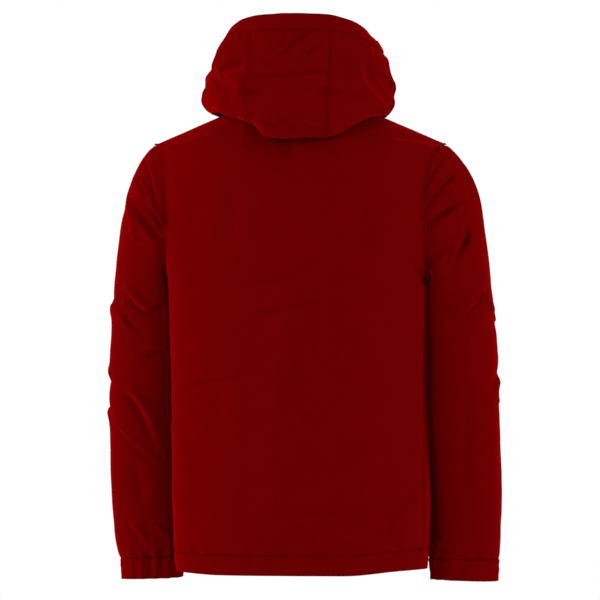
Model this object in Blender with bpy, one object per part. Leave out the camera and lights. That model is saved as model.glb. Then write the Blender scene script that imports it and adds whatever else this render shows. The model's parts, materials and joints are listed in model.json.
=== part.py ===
"""An anorak pullover of plain shell cloth, filled out as if worn, with nobody in it.

The wearer faces -Y, the wearer's left is +X and +Z is up. The origin is in the middle
of the neck opening, at the height where the shoulders carry the garment. Lengths are
in metres.

Every cloth piece starts as a flat grid. Its points are moved onto a surface that is
worked out from the sizes below, and then the grid gets a wall. Pieces that are sewn
together share the points of their seam and lean their walls the same way there, and
each edge is then drawn back by half a seam gap.
"""

import math
from collections import defaultdict, namedtuple

import bmesh
import bpy
from mathutils import Vector

# ---- Cloth and seams
CLOTH_WALL = 0.0018
BAND_WALL = 0.0026          # hem band, cuffs and face band are sewn double
TAPE_WALL = 0.0010
SEAM_GAP = 0.0004
WELD = 0.00001

# ---- Shoulders and neckline
TIP_X, TIP_Z = 0.217, -0.036          # shoulder point, where sleeve and shoulder seam meet
NECK_X, NECK_Z = 0.088, 0.018         # neck point, the inner end of the shoulder seam
NECK_SHARE = NECK_X / TIP_X           # the neckline's share of the shoulder width
NAPE_DEPTH, NAPE_DROP = 0.064, 0.010
THROAT_DEPTH, THROAT_DROP = 0.080, 0.078
NECK_ROUND = 2.2
SHOULDER_ROLL = 0.100                 # height over which cloth rolls off the shoulders
ROLL_AT_SHOULDER, ROLL_AT_MIDDLE = 2.0, 1.25

# ---- Body
CHEST_X = 0.198                       # half width across the back, between the armholes
UNDERARM_X, UNDERARM_Z = 0.2035, -0.250
ARMHOLE_BACK, ARMHOLE_FRONT = 0.066, 0.062
BACK_ROUND, FRONT_ROUND = 2.5, 2.2    # 2 is an ellipse, more is squarer
HEM_SEAM_Z = -0.677
HEM_EDGE_Z = -0.7075
HEM_EDGE_DRAW = 0.985                 # the hem's lower edge draws in a little

BodyLevel = namedtuple("BodyLevel", "name z half_width back front")
BODY_LEVELS = (
    BodyLevel("hem seam", HEM_SEAM_Z, 0.1950, 0.108, 0.112),
    BodyLevel("hip", -0.590, 0.1975, 0.111, 0.117),
    BodyLevel("waist", -0.480, 0.1990, 0.112, 0.120),
    BodyLevel("ribs", -0.360, 0.2005, 0.116, 0.124),
    BodyLevel("underarm", UNDERARM_Z, UNDERARM_X, 0.121, 0.126),
    BodyLevel("shoulder blades", -0.140, CHEST_X, 0.122, 0.116),
)

# ---- Sleeves: the cloth's outer and inner side, the middle's place and half the depth
SleeveRing = namedtuple("SleeveRing", "name outer_x outer_z inner_x inner_z middle_y half_depth")
SLEEVE_RINGS = (
    SleeveRing("biceps", 0.2935, -0.259, 0.1900, -0.312, -0.030, 0.071),
    SleeveRing("above elbow", 0.3020, -0.350, 0.1900, -0.382, -0.036, 0.068),
    SleeveRing("elbow", 0.3050, -0.445, 0.1900, -0.456, -0.040, 0.066),
    SleeveRing("forearm", 0.3050, -0.540, 0.1900, -0.534, -0.052, 0.062),
    SleeveRing("above cuff", 0.3020, -0.622, 0.1900, -0.614, -0.066, 0.058),
    SleeveRing("blouse", 0.2985, -0.662, 0.1910, -0.658, -0.072, 0.055),
    SleeveRing("cuff seam", 0.2930, -0.686, 0.1970, -0.683, -0.076, 0.048),
)
SLEEVE_ROUND = 2.15
SLEEVE_HANG = 0.008                   # the right sleeve hangs this much wider at its cuff
HEAD_START_TOP = Vector((0.156, 0.000, -0.060))
HEAD_START_UNDER = Vector((0.060, 0.000, -0.008))
HEAD_END_OUTER = Vector((0.020, -0.010, -0.300))
HEAD_END_INNER = Vector((-0.020, -0.030, -0.110))
CUFF_DEPTH = 0.033
CUFF_SPREAD = 0.97
SLEEVE_CLEAR = 0.0045                 # sleeve to body, between the middles of their walls
CLEAR_RAMP = 0.045

# ---- Hood: a row for each turn of the cloth, from the neck seam to the face edge, with
# its place at the centre back, at the side and at the centre front
HoodRow = namedtuple("HoodRow", "name back_y back_z side_x side_z front_y front_z droop")
HOOD_ROWS = (
    HoodRow("neck seam", 0.064, 0.008, 0.0880, 0.0180, -0.0800, -0.0600, 2.0),
    HoodRow("stand", 0.071, 0.026, 0.0925, 0.0350, -0.0835, -0.0530, 2.0),
    HoodRow("turn", 0.088, 0.032, 0.1030, 0.0400, -0.0860, -0.0470, 1.8),
    HoodRow("underside", 0.108, 0.008, 0.1160, 0.0260, -0.0880, -0.0415, 1.6),
    HoodRow("droop inside", 0.121, -0.020, 0.1270, 0.0120, -0.0895, -0.0365, 1.5),
    HoodRow("droop", 0.134, -0.034, 0.1360, 0.0075, -0.0910, -0.0320, 1.5),
    HoodRow("hang", 0.148, -0.024, 0.1440, 0.0120, -0.0925, -0.0275, 1.6),
    HoodRow("lower roll", 0.154, 0.004, 0.1475, 0.0230, -0.0940, -0.0225, 2.0),
    HoodRow("pinch", 0.147, 0.032, 0.1465, 0.0370, -0.0955, -0.0170, 2.4),
    HoodRow("upper roll", 0.149, 0.050, 0.1445, 0.0490, -0.0970, -0.0125, 2.6),
    HoodRow("ledge", 0.138, 0.066, 0.1415, 0.0600, -0.0985, -0.0080, 2.8),
    HoodRow("tuck", 0.122, 0.066, 0.1380, 0.0670, -0.1000, -0.0040, 3.0),
    HoodRow("hollow", 0.112, 0.082, 0.1360, 0.0740, -0.1010, -0.0015, 3.2),
    HoodRow("rise", 0.109, 0.108, 0.1335, 0.0860, -0.1020, 0.0010, 3.4),
    HoodRow("band seam", 0.106, 0.134, 0.1290, 0.1000, -0.1030, 0.0050, 3.5),
    HoodRow("band", 0.100, 0.149, 0.1240, 0.1100, -0.1060, 0.0130, 3.5),
    HoodRow("face edge", 0.091, 0.160, 0.1180, 0.1190, -0.1100, 0.0210, 3.5),
)
BAND_SEAM_ROW = 14
HOOD_ROUND = 0.86
HOOD_CENTRE_HALF = 0.062              # half width of the hood's middle panel
FRONT_DROOP = 2.0
HOOD_CLEAR = 0.0050                   # hood to shoulders, between the middles of their walls
FRONT_CLEAR = 0.0085                  # more of it towards the chest, where both curve away
SLOPE_STEP, STEEPEST = 1.02, 3.0

# ---- Front zip
SLIT_SHARE = 0.020                    # half the slit, as a share of the half width
TAPE_REACH = (-0.0033, 0.0, 0.0090)   # tape columns, from the slit's edge outwards
TAPE_FOOT = 0.35                      # rows that the tape runs on below the slit
TAPE_GAP = 0.0004
SLIDER_WIDTH, SLIDER_LENGTH, SLIDER_THICK = 0.0068, 0.0110, 0.0036
CROWN_WIDTH, CROWN_LENGTH, CROWN_RISE, CROWN_BAR = 0.0020, 0.0076, 0.0022, 0.0009
CROWN_POST = 0.0013
CROWN_SINK = 0.0004
TAB_WIDTH, TAB_LENGTH, TAB_THICK = 0.0064, 0.0300, 0.0011
EYE_WIDTH, EYE_LENGTH, EYE_RIM = 0.0038, 0.0055, 0.0013
SLIDER_SEAT = 0.0005                  # the slider's back, in front of the cloth's inner face
SLIDER_ROW = 13.9                     # the hood row that the slider is drawn up to
TILT_BELOW, TILT_ABOVE = 0.9, 0.7     # rows to either side of it that give its tilt

# ---- Mesh density
ROLL_STEPS, ARM_STEPS, BODY_STEPS = 4, 4, 9
ARMHOLE_STEPS = ROLL_STEPS + ARM_STEPS
HEM_ROW = ARMHOLE_STEPS + BODY_STEPS
NECK_STEPS, SIDE_STEPS = 6, 6
SEAM_COLUMN = 4                       # the neck column where a hood panel seam starts
HEAD_STEPS = 5
BAND_STEPS = 2
SEARCH_STEPS = 24                     # halvings that find a height on the shoulders

SHELL_RED = (0.115, 0.0002, 0.0005, 1.0)
TAPE_RED = (0.080, 0.0004, 0.0008, 1.0)
ZIP_METAL = (0.100, 0.098, 0.102, 1.0)


# ------------------------------------------------------------------ small helpers
def mix(start, end, share):
    return start + (end - start) * share


def smooth_value(places, values, place):
    """The value at a place on a smooth curve through a table's points."""
    if place <= places[0]:
        return values[0]
    if place >= places[-1]:
        return values[-1]
    i = max(k for k in range(len(places) - 1) if places[k] <= place)
    last = len(places) - 1

    def slope(k):
        before, after = max(k - 1, 0), min(k + 1, last)
        return (values[after] - values[before]) / (places[after] - places[before])

    span = places[i + 1] - places[i]
    t = (place - places[i]) / span
    start, end = slope(i) * span, slope(i + 1) * span
    return (values[i] * (1 + 2 * t) * (1 - t) ** 2 + start * t * (1 - t) ** 2
            + values[i + 1] * t * t * (3 - 2 * t) + end * t * t * (t - 1))


def column_at(table, column, row):
    """One named column of a table at a row number, whole or not."""
    values = [getattr(entry, column) for entry in table]
    return smooth_value(list(range(len(table))), values, row)


def body_level(column, z):
    return smooth_value([level.z for level in BODY_LEVELS],
                        [getattr(level, column) for level in BODY_LEVELS], z)


def round_share(share, fullness):
    """How far a rounded section still stands out at a share of its half width."""
    return max(1.0 - share ** fullness, 0.0) ** (1.0 / fullness)


def hermite(start, start_pull, end, end_pull, t):
    return (start * ((1 + 2 * t) * (1 - t) ** 2) + start_pull * (t * (1 - t) ** 2)
            + end * (t * t * (3 - 2 * t)) + end_pull * (t * t * (t - 1)))


# ------------------------------------------------------------------ column lists
def neck_places():
    """Columns from the middle to the neck point, closer together where it curves."""
    steps = [k / NECK_STEPS for k in range(NECK_STEPS + 1)]
    return [NECK_SHARE * (step + math.sin(step * math.pi / 2)) / 2 for step in steps]


def shoulder_places():
    """Columns from past the neck point to the side edge."""
    first = math.asin(NECK_SHARE ** (BACK_ROUND / 2))
    turns = [mix(first, math.pi / 2, k / SIDE_STEPS) for k in range(1, SIDE_STEPS + 1)]
    return [math.sin(turn) ** (2 / BACK_ROUND) for turn in turns]


def both_sides(half):
    """A full row of columns from the half with positive places."""
    return [-place for place in reversed(half) if place > 0] + half


SEAM_ANGLE = math.asin(neck_places()[SEAM_COLUMN] / NECK_SHARE)
SLIT_ANGLE = math.pi - math.asin(SLIT_SHARE / NECK_SHARE)


def neck_angles():
    """The hood's columns, from the left slit edge round the back to the right one."""
    back = [math.asin(min(place / NECK_SHARE, 1.0)) for place in neck_places()]
    front = [math.pi - angle for angle in reversed(back[1:-1])] + [SLIT_ANGLE]
    return both_sides(back + front)


# ------------------------------------------------------------------ body surface
def panel_top(face, across):
    """The top edge of a body panel: the neckline, and outside it the shoulder seam."""
    share = abs(across)
    if share >= NECK_SHARE:
        out = (share - NECK_SHARE) / (1 - NECK_SHARE)
        return Vector((TIP_X * across, 0.0, mix(NECK_Z, TIP_Z, out)))
    to_neck = share / NECK_SHARE
    depth, drop = (NAPE_DEPTH, NAPE_DROP) if face > 0 else (THROAT_DEPTH, THROAT_DROP)
    y = face * depth * round_share(to_neck, NECK_ROUND)
    return Vector((TIP_X * across, y, NECK_Z - drop * (1 - to_neck ** 2)))


def body_point(face, across, row):
    """A point of the back (face 1) or front (face -1).

    across runs from -1 to 1 between the side edges. row runs from 0 at the top edge
    over the shoulder roll and past the armhole to HEM_ROW at the hem seam.
    """
    top = panel_top(face, across)
    roundness = BACK_ROUND if face > 0 else FRONT_ROUND
    armhole = ARMHOLE_BACK if face > 0 else ARMHOLE_FRONT
    rolled = 1.0
    if row <= ROLL_STEPS:
        turn = math.radians(90) * row / ROLL_STEPS
        down = 1 - math.cos(turn)
        z = top.z - SHOULDER_ROLL * down
        half_width = mix(TIP_X, CHEST_X, math.sin(turn))
        power = mix(ROLL_AT_MIDDLE, ROLL_AT_SHOULDER, min(abs(across) / NECK_SHARE, 1.0))
        rolled = (1 - (1 - down) ** power) ** (1 / power)
        edge = armhole
    elif row <= ARMHOLE_STEPS:
        down = math.sin(math.radians(90) * (row - ROLL_STEPS) / ARM_STEPS)
        z = mix(top.z - SHOULDER_ROLL, UNDERARM_Z, down)
        half_width = mix(CHEST_X, UNDERARM_X, down)
        edge = armhole * math.sqrt(max(1 - down * down, 0.0))
    else:
        z = mix(UNDERARM_Z, HEM_SEAM_Z, (row - ARMHOLE_STEPS) / BODY_STEPS)
        half_width = body_level("half_width", z)
        edge = 0.0
    depth = body_level("back" if face > 0 else "front", z)
    cut = 1 - (edge / depth) ** roundness
    full = depth * (1 - cut * abs(across) ** roundness) ** (1 / roundness)
    y = mix(abs(top.y), full, rolled)
    return Vector((half_width * across, face * y, z))


def body_side(y, z):
    """How far the body reaches sideways at a depth and a height under the arm."""
    depth = body_level("back" if y > 0 else "front", z)
    roundness = BACK_ROUND if y > 0 else FRONT_ROUND
    return body_level("half_width", z) * round_share(min(abs(y) / depth, 1.0), roundness)


def hem_point(face, across, down):
    """A point of the hem band, from its seam (down 0) to the lower edge (down 1)."""
    seam = body_point(face, across, HEM_ROW)
    draw = mix(1.0, HEM_EDGE_DRAW, down)
    return Vector((seam.x * draw, seam.y * draw, mix(HEM_SEAM_Z, HEM_EDGE_Z, down)))


def shoulder_height(x, y):
    """The height of the body's cloth at a place on the shoulders, or None in the neck."""
    across = max(-1.0, min(x / TIP_X, 1.0))
    face = 1 if y > 0 else -1
    if abs(y) < abs(panel_top(face, across).y):
        return None
    low, high = 0.0, float(ROLL_STEPS)
    for _ in range(SEARCH_STEPS):
        middle = (low + high) / 2
        if abs(body_point(face, across, middle).y) < abs(y):
            low = middle
        else:
            high = middle
    return body_point(face, across, low).z


# ------------------------------------------------------------------ sleeve surface
def armhole_point(side, turn):
    """The armhole seam. turn runs 0 to 1: shoulder point, back, underarm, front."""
    if turn <= 0.5:
        return body_point(1, side, turn * 2 * ARMHOLE_STEPS)
    return body_point(-1, side, (1 - turn) * 2 * ARMHOLE_STEPS)


def sleeve_ring_point(side, turn, ring):
    """A point on the sleeve's rings, from the biceps (ring 0) to the cuff seam."""
    angle = math.tau * turn
    out, back = math.cos(angle), math.sin(angle)
    reach = (abs(out) ** SLEEVE_ROUND + abs(back) ** SLEEVE_ROUND) ** (-1 / SLEEVE_ROUND)
    outer_share = (1 + out * reach) / 2
    hang = 0.0 if side > 0 else SLEEVE_HANG * (ring / (len(SLEEVE_RINGS) - 1)) ** 2
    x = mix(column_at(SLEEVE_RINGS, "inner_x", ring),
            column_at(SLEEVE_RINGS, "outer_x", ring) + hang, outer_share)
    z = mix(column_at(SLEEVE_RINGS, "inner_z", ring),
            column_at(SLEEVE_RINGS, "outer_z", ring), outer_share)
    y = (column_at(SLEEVE_RINGS, "middle_y", ring)
         + column_at(SLEEVE_RINGS, "half_depth", ring) * back * reach)
    return Vector((side * x, y, z))


def sleeve_point(side, turn, place):
    """A point of the sleeve: place 0 to 1 is its head, then one for each ring."""
    if place >= 1:
        point = sleeve_ring_point(side, turn, place - 1)
        ramp = 1.0
    else:
        angle = math.tau * turn
        outer = (1 + math.cos(angle)) / 2
        start = HEAD_START_TOP * outer + HEAD_START_UNDER * (1 - outer)
        end = HEAD_END_INNER.lerp(HEAD_END_OUTER, outer)
        start = Vector((side * start.x, start.y, start.z))
        end = Vector((side * end.x, end.y, end.z))
        seam = armhole_point(side, turn)
        point = hermite(seam, start, sleeve_ring_point(side, turn, 0), end, place)
        ramp = min((seam - point).length / CLEAR_RAMP, 1.0)
    if point.z < UNDERARM_Z + CLEAR_RAMP:
        clear = body_side(point.y, min(point.z, UNDERARM_Z)) + SLEEVE_CLEAR * ramp
        point.x = side * max(abs(point.x), clear)
    return point


def cuff_point(side, turn, down):
    """A point of the cuff, from its seam (down 0) to the lower edge (down 1)."""
    last = len(SLEEVE_RINGS) - 1
    seam = sleeve_point(side, turn, last + 1)
    middle = (sleeve_point(side, 0.0, last + 1) + sleeve_point(side, 0.5, last + 1)) / 2
    middle.y = SLEEVE_RINGS[last].middle_y
    point = middle.lerp(seam, mix(1.0, CUFF_SPREAD, down))
    return point - Vector((0, 0, CUFF_DEPTH * down))


# ------------------------------------------------------------------ hood surface
def hood_point(angle, row):
    """A point of the hood.

    angle is the place on the neck seam, 0 at the centre back and nearly half a turn at
    the centre front. row runs from 0 at the neck seam to the face edge.
    """
    side = math.copysign(1, angle)
    place = abs(angle)
    if row == 0:
        face = 1 if place <= math.pi / 2 else -1
        return panel_top(face, side * NECK_SHARE * math.sin(place))
    side_x = column_at(HOOD_ROWS, "side_x", row)
    seam_turn = math.asin((HOOD_CENTRE_HALF / side_x) ** (1 / HOOD_ROUND))
    if place <= SEAM_ANGLE:
        share = math.sin(place) / math.sin(SEAM_ANGLE)
        turn = math.asin((share * HOOD_CENTRE_HALF / side_x) ** (1 / HOOD_ROUND))
    else:
        share = (place - SEAM_ANGLE) / (SLIT_ANGLE - SEAM_ANGLE)
        slit = TIP_X * SLIT_SHARE
        end = math.pi - math.asin((slit / side_x) ** (1 / HOOD_ROUND))
        turn = mix(seam_turn, end, share)
    out, back = math.sin(turn), math.cos(turn)
    droop = column_at(HOOD_ROWS, "droop", row) if back > 0 else FRONT_DROOP
    reach_y = column_at(HOOD_ROWS, "back_y" if back > 0 else "front_y", row)
    end_z = column_at(HOOD_ROWS, "back_z" if back > 0 else "front_z", row)
    side_z = column_at(HOOD_ROWS, "side_z", row)
    x = side * side_x * out ** HOOD_ROUND
    y = reach_y * abs(back) ** HOOD_ROUND
    z = mix(side_z, end_z, 1 - out ** droop)
    rest = shoulder_height(x, y)
    if rest is not None:
        near = shoulder_height(x * SLOPE_STEP, y * SLOPE_STEP)
        run = math.hypot(x, y) * (SLOPE_STEP - 1)
        slope = math.hypot(1.0, (near - rest) / run)
        clear = HOOD_CLEAR + FRONT_CLEAR * max(-back, 0.0)
        z = max(z, rest + clear * min(slope, STEEPEST) * min(row, 1.0))
    return Vector((x, y, z))


# ------------------------------------------------------------------ sheets and walls
def spot(point):
    """A seam point's name, the same from either side of the seam."""
    return tuple(round(value / WELD) for value in point)


def grid_sheet(columns, rows, place, closed=False, turned=False):
    """A flat grid moved onto a surface: place(column, row) gives each point."""
    sheet = bmesh.new()
    bmesh.ops.create_grid(sheet, x_segments=len(columns) - 1,
                          y_segments=len(rows) - 1, size=1.0)
    for vertex in sheet.verts:
        i = round((vertex.co.x + 1) / 2 * (len(columns) - 1))
        j = round((vertex.co.y + 1) / 2 * (len(rows) - 1))
        vertex.co = place(columns[i], rows[j])
    if closed:
        bmesh.ops.remove_doubles(sheet, verts=sheet.verts[:], dist=WELD)
    if turned:
        bmesh.ops.reverse_faces(sheet, faces=sheet.faces[:])
    sheet.normal_update()
    return sheet


def add_leans(leans, sheet):
    """Add up, at each point, which way the cloth faces on all pieces that meet there."""
    for vertex in sheet.verts:
        leans[spot(vertex.co)] += vertex.normal


def edge_pull(vertex):
    """The way from a piece's edge into the piece, or nothing away from its edges."""
    if not vertex.is_boundary:
        return Vector((0, 0, 0))
    inward = [edge for edge in vertex.link_edges if not edge.is_boundary]
    pull = Vector((0, 0, 0))
    for edge in inward or vertex.link_edges:
        pull += (edge.other_vert(vertex).co - vertex.co).normalized()
    return pull.normalized() if inward else pull


def add_wall(sheet, leans, wall):
    """Turn a sheet into a closed wall, half of it on each side of the sheet."""
    lean = {}
    pull = {}
    for vertex in sheet.verts:
        name = spot(vertex.co)
        lean[name] = leans[name].normalized()
        pull[name] = edge_pull(vertex) * (SEAM_GAP / 2)
    outside = bmesh.ops.extrude_face_region(sheet, geom=sheet.faces[:], use_keep_orig=True)
    outer = {item for item in outside["geom"] if isinstance(item, bmesh.types.BMVert)}
    for vertex in sheet.verts:
        name = spot(vertex.co)
        way = wall / 2 if vertex in outer else -wall / 2
        vertex.co = vertex.co + pull[name] + lean[name] * way
    bmesh.ops.triangulate(sheet, faces=sheet.faces[:], quad_method="SHORT_EDGE")
    bmesh.ops.recalc_face_normals(sheet, faces=sheet.faces[:])


def add_object(name, shape, material):
    mesh = bpy.data.meshes.new(name)
    shape.to_mesh(mesh)
    shape.free()
    mesh.materials.append(material)
    mesh.shade_smooth()
    mesh.set_sharp_from_angle(angle=math.radians(50))
    piece = bpy.data.objects.new(name, mesh)
    bpy.context.collection.objects.link(piece)
    return piece


def finish(name, colour, roughness, metallic=0.0):
    material = bpy.data.materials.new(name)
    material.use_nodes = True
    shader = material.node_tree.nodes["Principled BSDF"]
    shader.inputs["Base Color"].default_value = colour
    shader.inputs["Roughness"].default_value = roughness
    shader.inputs["Metallic"].default_value = metallic
    return material


# ------------------------------------------------------------------ cloth pieces
def body_sheets():
    rows = list(range(HEM_ROW + 1))
    back_columns = both_sides(neck_places() + shoulder_places())
    front_columns = both_sides([SLIT_SHARE] + neck_places()[1:] + shoulder_places())
    back = grid_sheet(back_columns, rows, lambda c, r: body_point(1, c, r))
    front = grid_sheet(front_columns, rows, lambda c, r: body_point(-1, c, r), turned=True)
    slit = [face for face in front.faces
            if abs(face.calc_center_median().x) < WELD
            and face.calc_center_median().z > UNDERARM_Z]
    bmesh.ops.delete(front, geom=slit, context="FACES")
    around = ([(1, c) for c in back_columns]
              + [(-1, c) for c in reversed(front_columns[:-1])])
    hem_rows = [k / BAND_STEPS for k in range(BAND_STEPS + 1)]
    hem = grid_sheet(around, hem_rows, lambda c, r: hem_point(c[0], c[1], r), closed=True)
    return {"back_panel": back, "front_panel": front, "hem_band": hem}


def sleeve_sheets(side):
    word = "left" if side > 0 else "right"
    turns = [k / (2 * ARMHOLE_STEPS) for k in range(2 * ARMHOLE_STEPS + 1)]
    places = [k / HEAD_STEPS for k in range(HEAD_STEPS)]
    places += [1 + k / 2 for k in range(2 * len(SLEEVE_RINGS) - 1)]
    cuff_rows = [k / BAND_STEPS for k in range(BAND_STEPS + 1)]
    sleeve = grid_sheet(turns, places, lambda t, p: sleeve_point(side, t % 1.0, p),
                        closed=True, turned=side > 0)
    cuff = grid_sheet(turns, cuff_rows, lambda t, p: cuff_point(side, t % 1.0, p),
                      closed=True, turned=side > 0)
    return {f"sleeve_{word}": sleeve, f"cuff_{word}": cuff}


def hood_sheets():
    angles = neck_angles()
    centre = len(angles) // 2
    right = angles[:centre - SEAM_COLUMN + 1]
    middle = angles[centre - SEAM_COLUMN:centre + SEAM_COLUMN + 1]
    left = angles[centre + SEAM_COLUMN:]
    rows = list(range(BAND_SEAM_ROW + 1))
    band_rows = list(range(BAND_SEAM_ROW, len(HOOD_ROWS)))
    return {
        "hood_centre": grid_sheet(middle, rows, hood_point, turned=True),
        "hood_side_left": grid_sheet(left, rows, hood_point, turned=True),
        "hood_side_right": grid_sheet(right, rows, hood_point, turned=True),
        "hood_face_band": grid_sheet(angles, band_rows, hood_point, turned=True),
    }


# ------------------------------------------------------------------ front zip
def zip_line(side, place):
    """Two points across the slit's edge: on it, and on the next column of the cloth.

    place is 0 at the slit's foot, ARMHOLE_STEPS at the neck seam, and then a hood row more.
    """
    if place <= ARMHOLE_STEPS:
        row = ARMHOLE_STEPS - place
        return (body_point(-1, side * SLIT_SHARE, row),
                body_point(-1, side * neck_places()[1], row))
    row = place - ARMHOLE_STEPS
    return hood_point(side * SLIT_ANGLE, row), hood_point(side * neck_angles()[-2], row)


def tape_sheet(side, leans):
    """One half of the zip's tape, just inside the cloth along the slit's edge."""
    deep = BAND_WALL / 2 + TAPE_GAP + TAPE_WALL / 2

    def tape_point(reach, place):
        edge, beside = zip_line(side, place)
        inward = -leans[spot(edge)].normalized() if place >= 0 else Vector((0, 1, 0))
        return edge + (beside - edge).normalized() * reach + inward * deep

    places = [-TAPE_FOOT] + list(range(ARMHOLE_STEPS + len(HOOD_ROWS)))
    tape = grid_sheet(list(TAPE_REACH), places, tape_point, turned=side < 0)
    own_leans = defaultdict(lambda: Vector((0, 0, 0)))
    add_leans(own_leans, tape)
    add_wall(tape, own_leans, TAPE_WALL)
    return tape


def slider_place():
    """The slider's middle on the cloth's surface at the centre front, and its tilt."""
    low = hood_point(SLIT_ANGLE, SLIDER_ROW - TILT_BELOW)
    high = hood_point(SLIT_ANGLE, SLIDER_ROW + TILT_ABOVE)
    middle = hood_point(SLIT_ANGLE, SLIDER_ROW)
    middle.x = 0.0
    return middle, math.atan2(low.y - high.y, high.z - low.z)


def add_block(name, size, middle, material):
    block = bmesh.new()
    bmesh.ops.create_cube(block, size=1.0)
    bmesh.ops.scale(block, verts=block.verts[:], vec=size)
    bmesh.ops.translate(block, verts=block.verts[:], vec=middle)
    return add_object(name, block, material)


def cut_or_join(piece, tool, operation):
    step = piece.modifiers.new(operation.lower(), "BOOLEAN")
    step.operation = operation
    step.object = tool
    tool.hide_render = True
    tool.display_type = "WIRE"


def add_zip_metal(metal):
    """The slider with its crown, and the pull tab hanging plumb from the crown."""
    middle, tilt = slider_place()
    out = Vector((0, -math.cos(tilt), -math.sin(tilt)))
    back_face = SLIDER_SEAT - BAND_WALL / 2
    body_out = back_face + SLIDER_THICK
    slider = add_block("zip_slider", (SLIDER_WIDTH, SLIDER_THICK, SLIDER_LENGTH),
                       (0, -(back_face + body_out) / 2, 0), metal)
    crown_high = CROWN_RISE + CROWN_BAR
    crown = add_block("crown", (CROWN_WIDTH, crown_high + CROWN_SINK, CROWN_LENGTH),
                      (0, -body_out - (crown_high - CROWN_SINK) / 2, 0), metal)
    tunnel = add_block("crown_tunnel", (CROWN_WIDTH * 2, CROWN_RISE,
                                        CROWN_LENGTH - 2 * CROWN_POST),
                       (0, -body_out - CROWN_RISE / 2, 0), metal)
    for piece in (slider, crown, tunnel):
        piece.location = middle
        piece.rotation_euler = (tilt, 0, 0)
    cut_or_join(slider, crown, "UNION")
    cut_or_join(slider, tunnel, "DIFFERENCE")
    pivot = middle + out * (body_out + CROWN_RISE / 2)
    tab = add_block("zip_pull_tab", (TAB_WIDTH, TAB_THICK, TAB_LENGTH),
                    (0, 0, EYE_RIM / 2 - TAB_LENGTH / 2), metal)
    eye = add_block("tab_eye", (EYE_WIDTH, TAB_THICK * 3, EYE_LENGTH),
                    (0, 0, -EYE_RIM / 2 - EYE_LENGTH / 2), metal)
    for piece in (tab, eye):
        piece.location = pivot
    cut_or_join(tab, eye, "DIFFERENCE")
    return pivot


def main():
    for old in list(bpy.data.objects):
        bpy.data.objects.remove(old, do_unlink=True)
    shell = finish("shell cloth", SHELL_RED, 0.75)
    sheets = body_sheets()
    for side in (1, -1):
        sheets.update(sleeve_sheets(side))
    sheets.update(hood_sheets())
    leans = defaultdict(lambda: Vector((0, 0, 0)))
    for sheet in sheets.values():
        add_leans(leans, sheet)
    for name, sheet in sheets.items():
        double = "band" in name or "cuff" in name
        add_wall(sheet, leans, BAND_WALL if double else CLOTH_WALL)
        add_object(name, sheet, shell)
    tape = finish("zip tape", TAPE_RED, 0.8)
    add_object("zip_tape_left", tape_sheet(1, leans), tape)
    add_object("zip_tape_right", tape_sheet(-1, leans), tape)
    add_zip_metal(finish("zip metal", ZIP_METAL, 0.35, 1.0))


main()
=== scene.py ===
"""The looks of an anorak pullover: cloth, seams, stitching, zip and a plain studio.

The wearer faces -Y, the wearer's left is +X and +Z is up; lengths are in metres. Each
cloth piece is a fine grid on the form that its CAD solid has, with its creases placed
one by one and its seams worked in, and it is then given a wall.
"""

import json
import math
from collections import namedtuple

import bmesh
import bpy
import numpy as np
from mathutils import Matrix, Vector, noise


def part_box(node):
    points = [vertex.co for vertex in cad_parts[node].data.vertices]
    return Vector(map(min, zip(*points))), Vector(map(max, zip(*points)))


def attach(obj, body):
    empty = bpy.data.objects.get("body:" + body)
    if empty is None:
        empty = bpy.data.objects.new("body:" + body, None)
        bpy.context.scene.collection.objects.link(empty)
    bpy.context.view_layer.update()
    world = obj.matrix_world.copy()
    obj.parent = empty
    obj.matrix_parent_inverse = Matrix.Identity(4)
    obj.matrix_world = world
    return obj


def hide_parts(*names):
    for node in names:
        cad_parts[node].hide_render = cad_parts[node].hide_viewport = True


bl_info = {
    "name": "Anorak pullover",
    "version": (1, 0, 0),
    "blender": (4, 5, 0),
    "location": "3D View > Sidebar > Anorak",
    "description": "Makes the cloth, seams, stitching, zip and studio of an anorak pullover",
    "category": "Add Mesh",
}

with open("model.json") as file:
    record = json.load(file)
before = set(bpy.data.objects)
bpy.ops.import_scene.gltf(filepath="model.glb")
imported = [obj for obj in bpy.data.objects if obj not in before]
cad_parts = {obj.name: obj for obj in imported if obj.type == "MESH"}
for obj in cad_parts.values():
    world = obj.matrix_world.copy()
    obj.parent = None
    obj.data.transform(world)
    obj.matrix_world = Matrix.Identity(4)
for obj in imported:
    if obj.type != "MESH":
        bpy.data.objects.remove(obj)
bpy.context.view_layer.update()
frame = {"record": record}
GARMENT = "garment"
PULL_TAB = "pull_tab"

# ---- Shoulders and neckline, as on the CAD solids
TIP_X, TIP_Z = 0.2286, -0.042          # shoulder point, where sleeve and shoulder seam meet
NECK_X, NECK_Z = 0.088, 0.018         # neck point, the inner end of the shoulder seam
NECK_SHARE = NECK_X / TIP_X
NAPE_DEPTH, NAPE_DROP = 0.064, 0.010
THROAT_DEPTH, THROAT_DROP = 0.080, 0.078
NECK_ROUND = 2.2
SHOULDER_ROLL = 0.100
ROLL_AT_SHOULDER, ROLL_AT_MIDDLE = 2.0, 1.25

# ---- Body
CHEST_X = 0.199
UNDERARM_X, UNDERARM_Z = 0.2035, -0.250
ARMHOLE_BACK, ARMHOLE_FRONT = 0.066, 0.062
BACK_ROUND, FRONT_ROUND = 2.5, 2.2    # 2 is an ellipse, more is squarer
HEM_SEAM_Z, HEM_EDGE_Z = -0.677, -0.7075
HEM_EDGE_DRAW = 0.985
HEM_LIFT = (0.0023, 0.0035, 0.0085)   # the hem's rise in the middle, and more at the sides
SIDE_FULL = 0.0055                    # how much fuller the right side hangs over its hem

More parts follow.
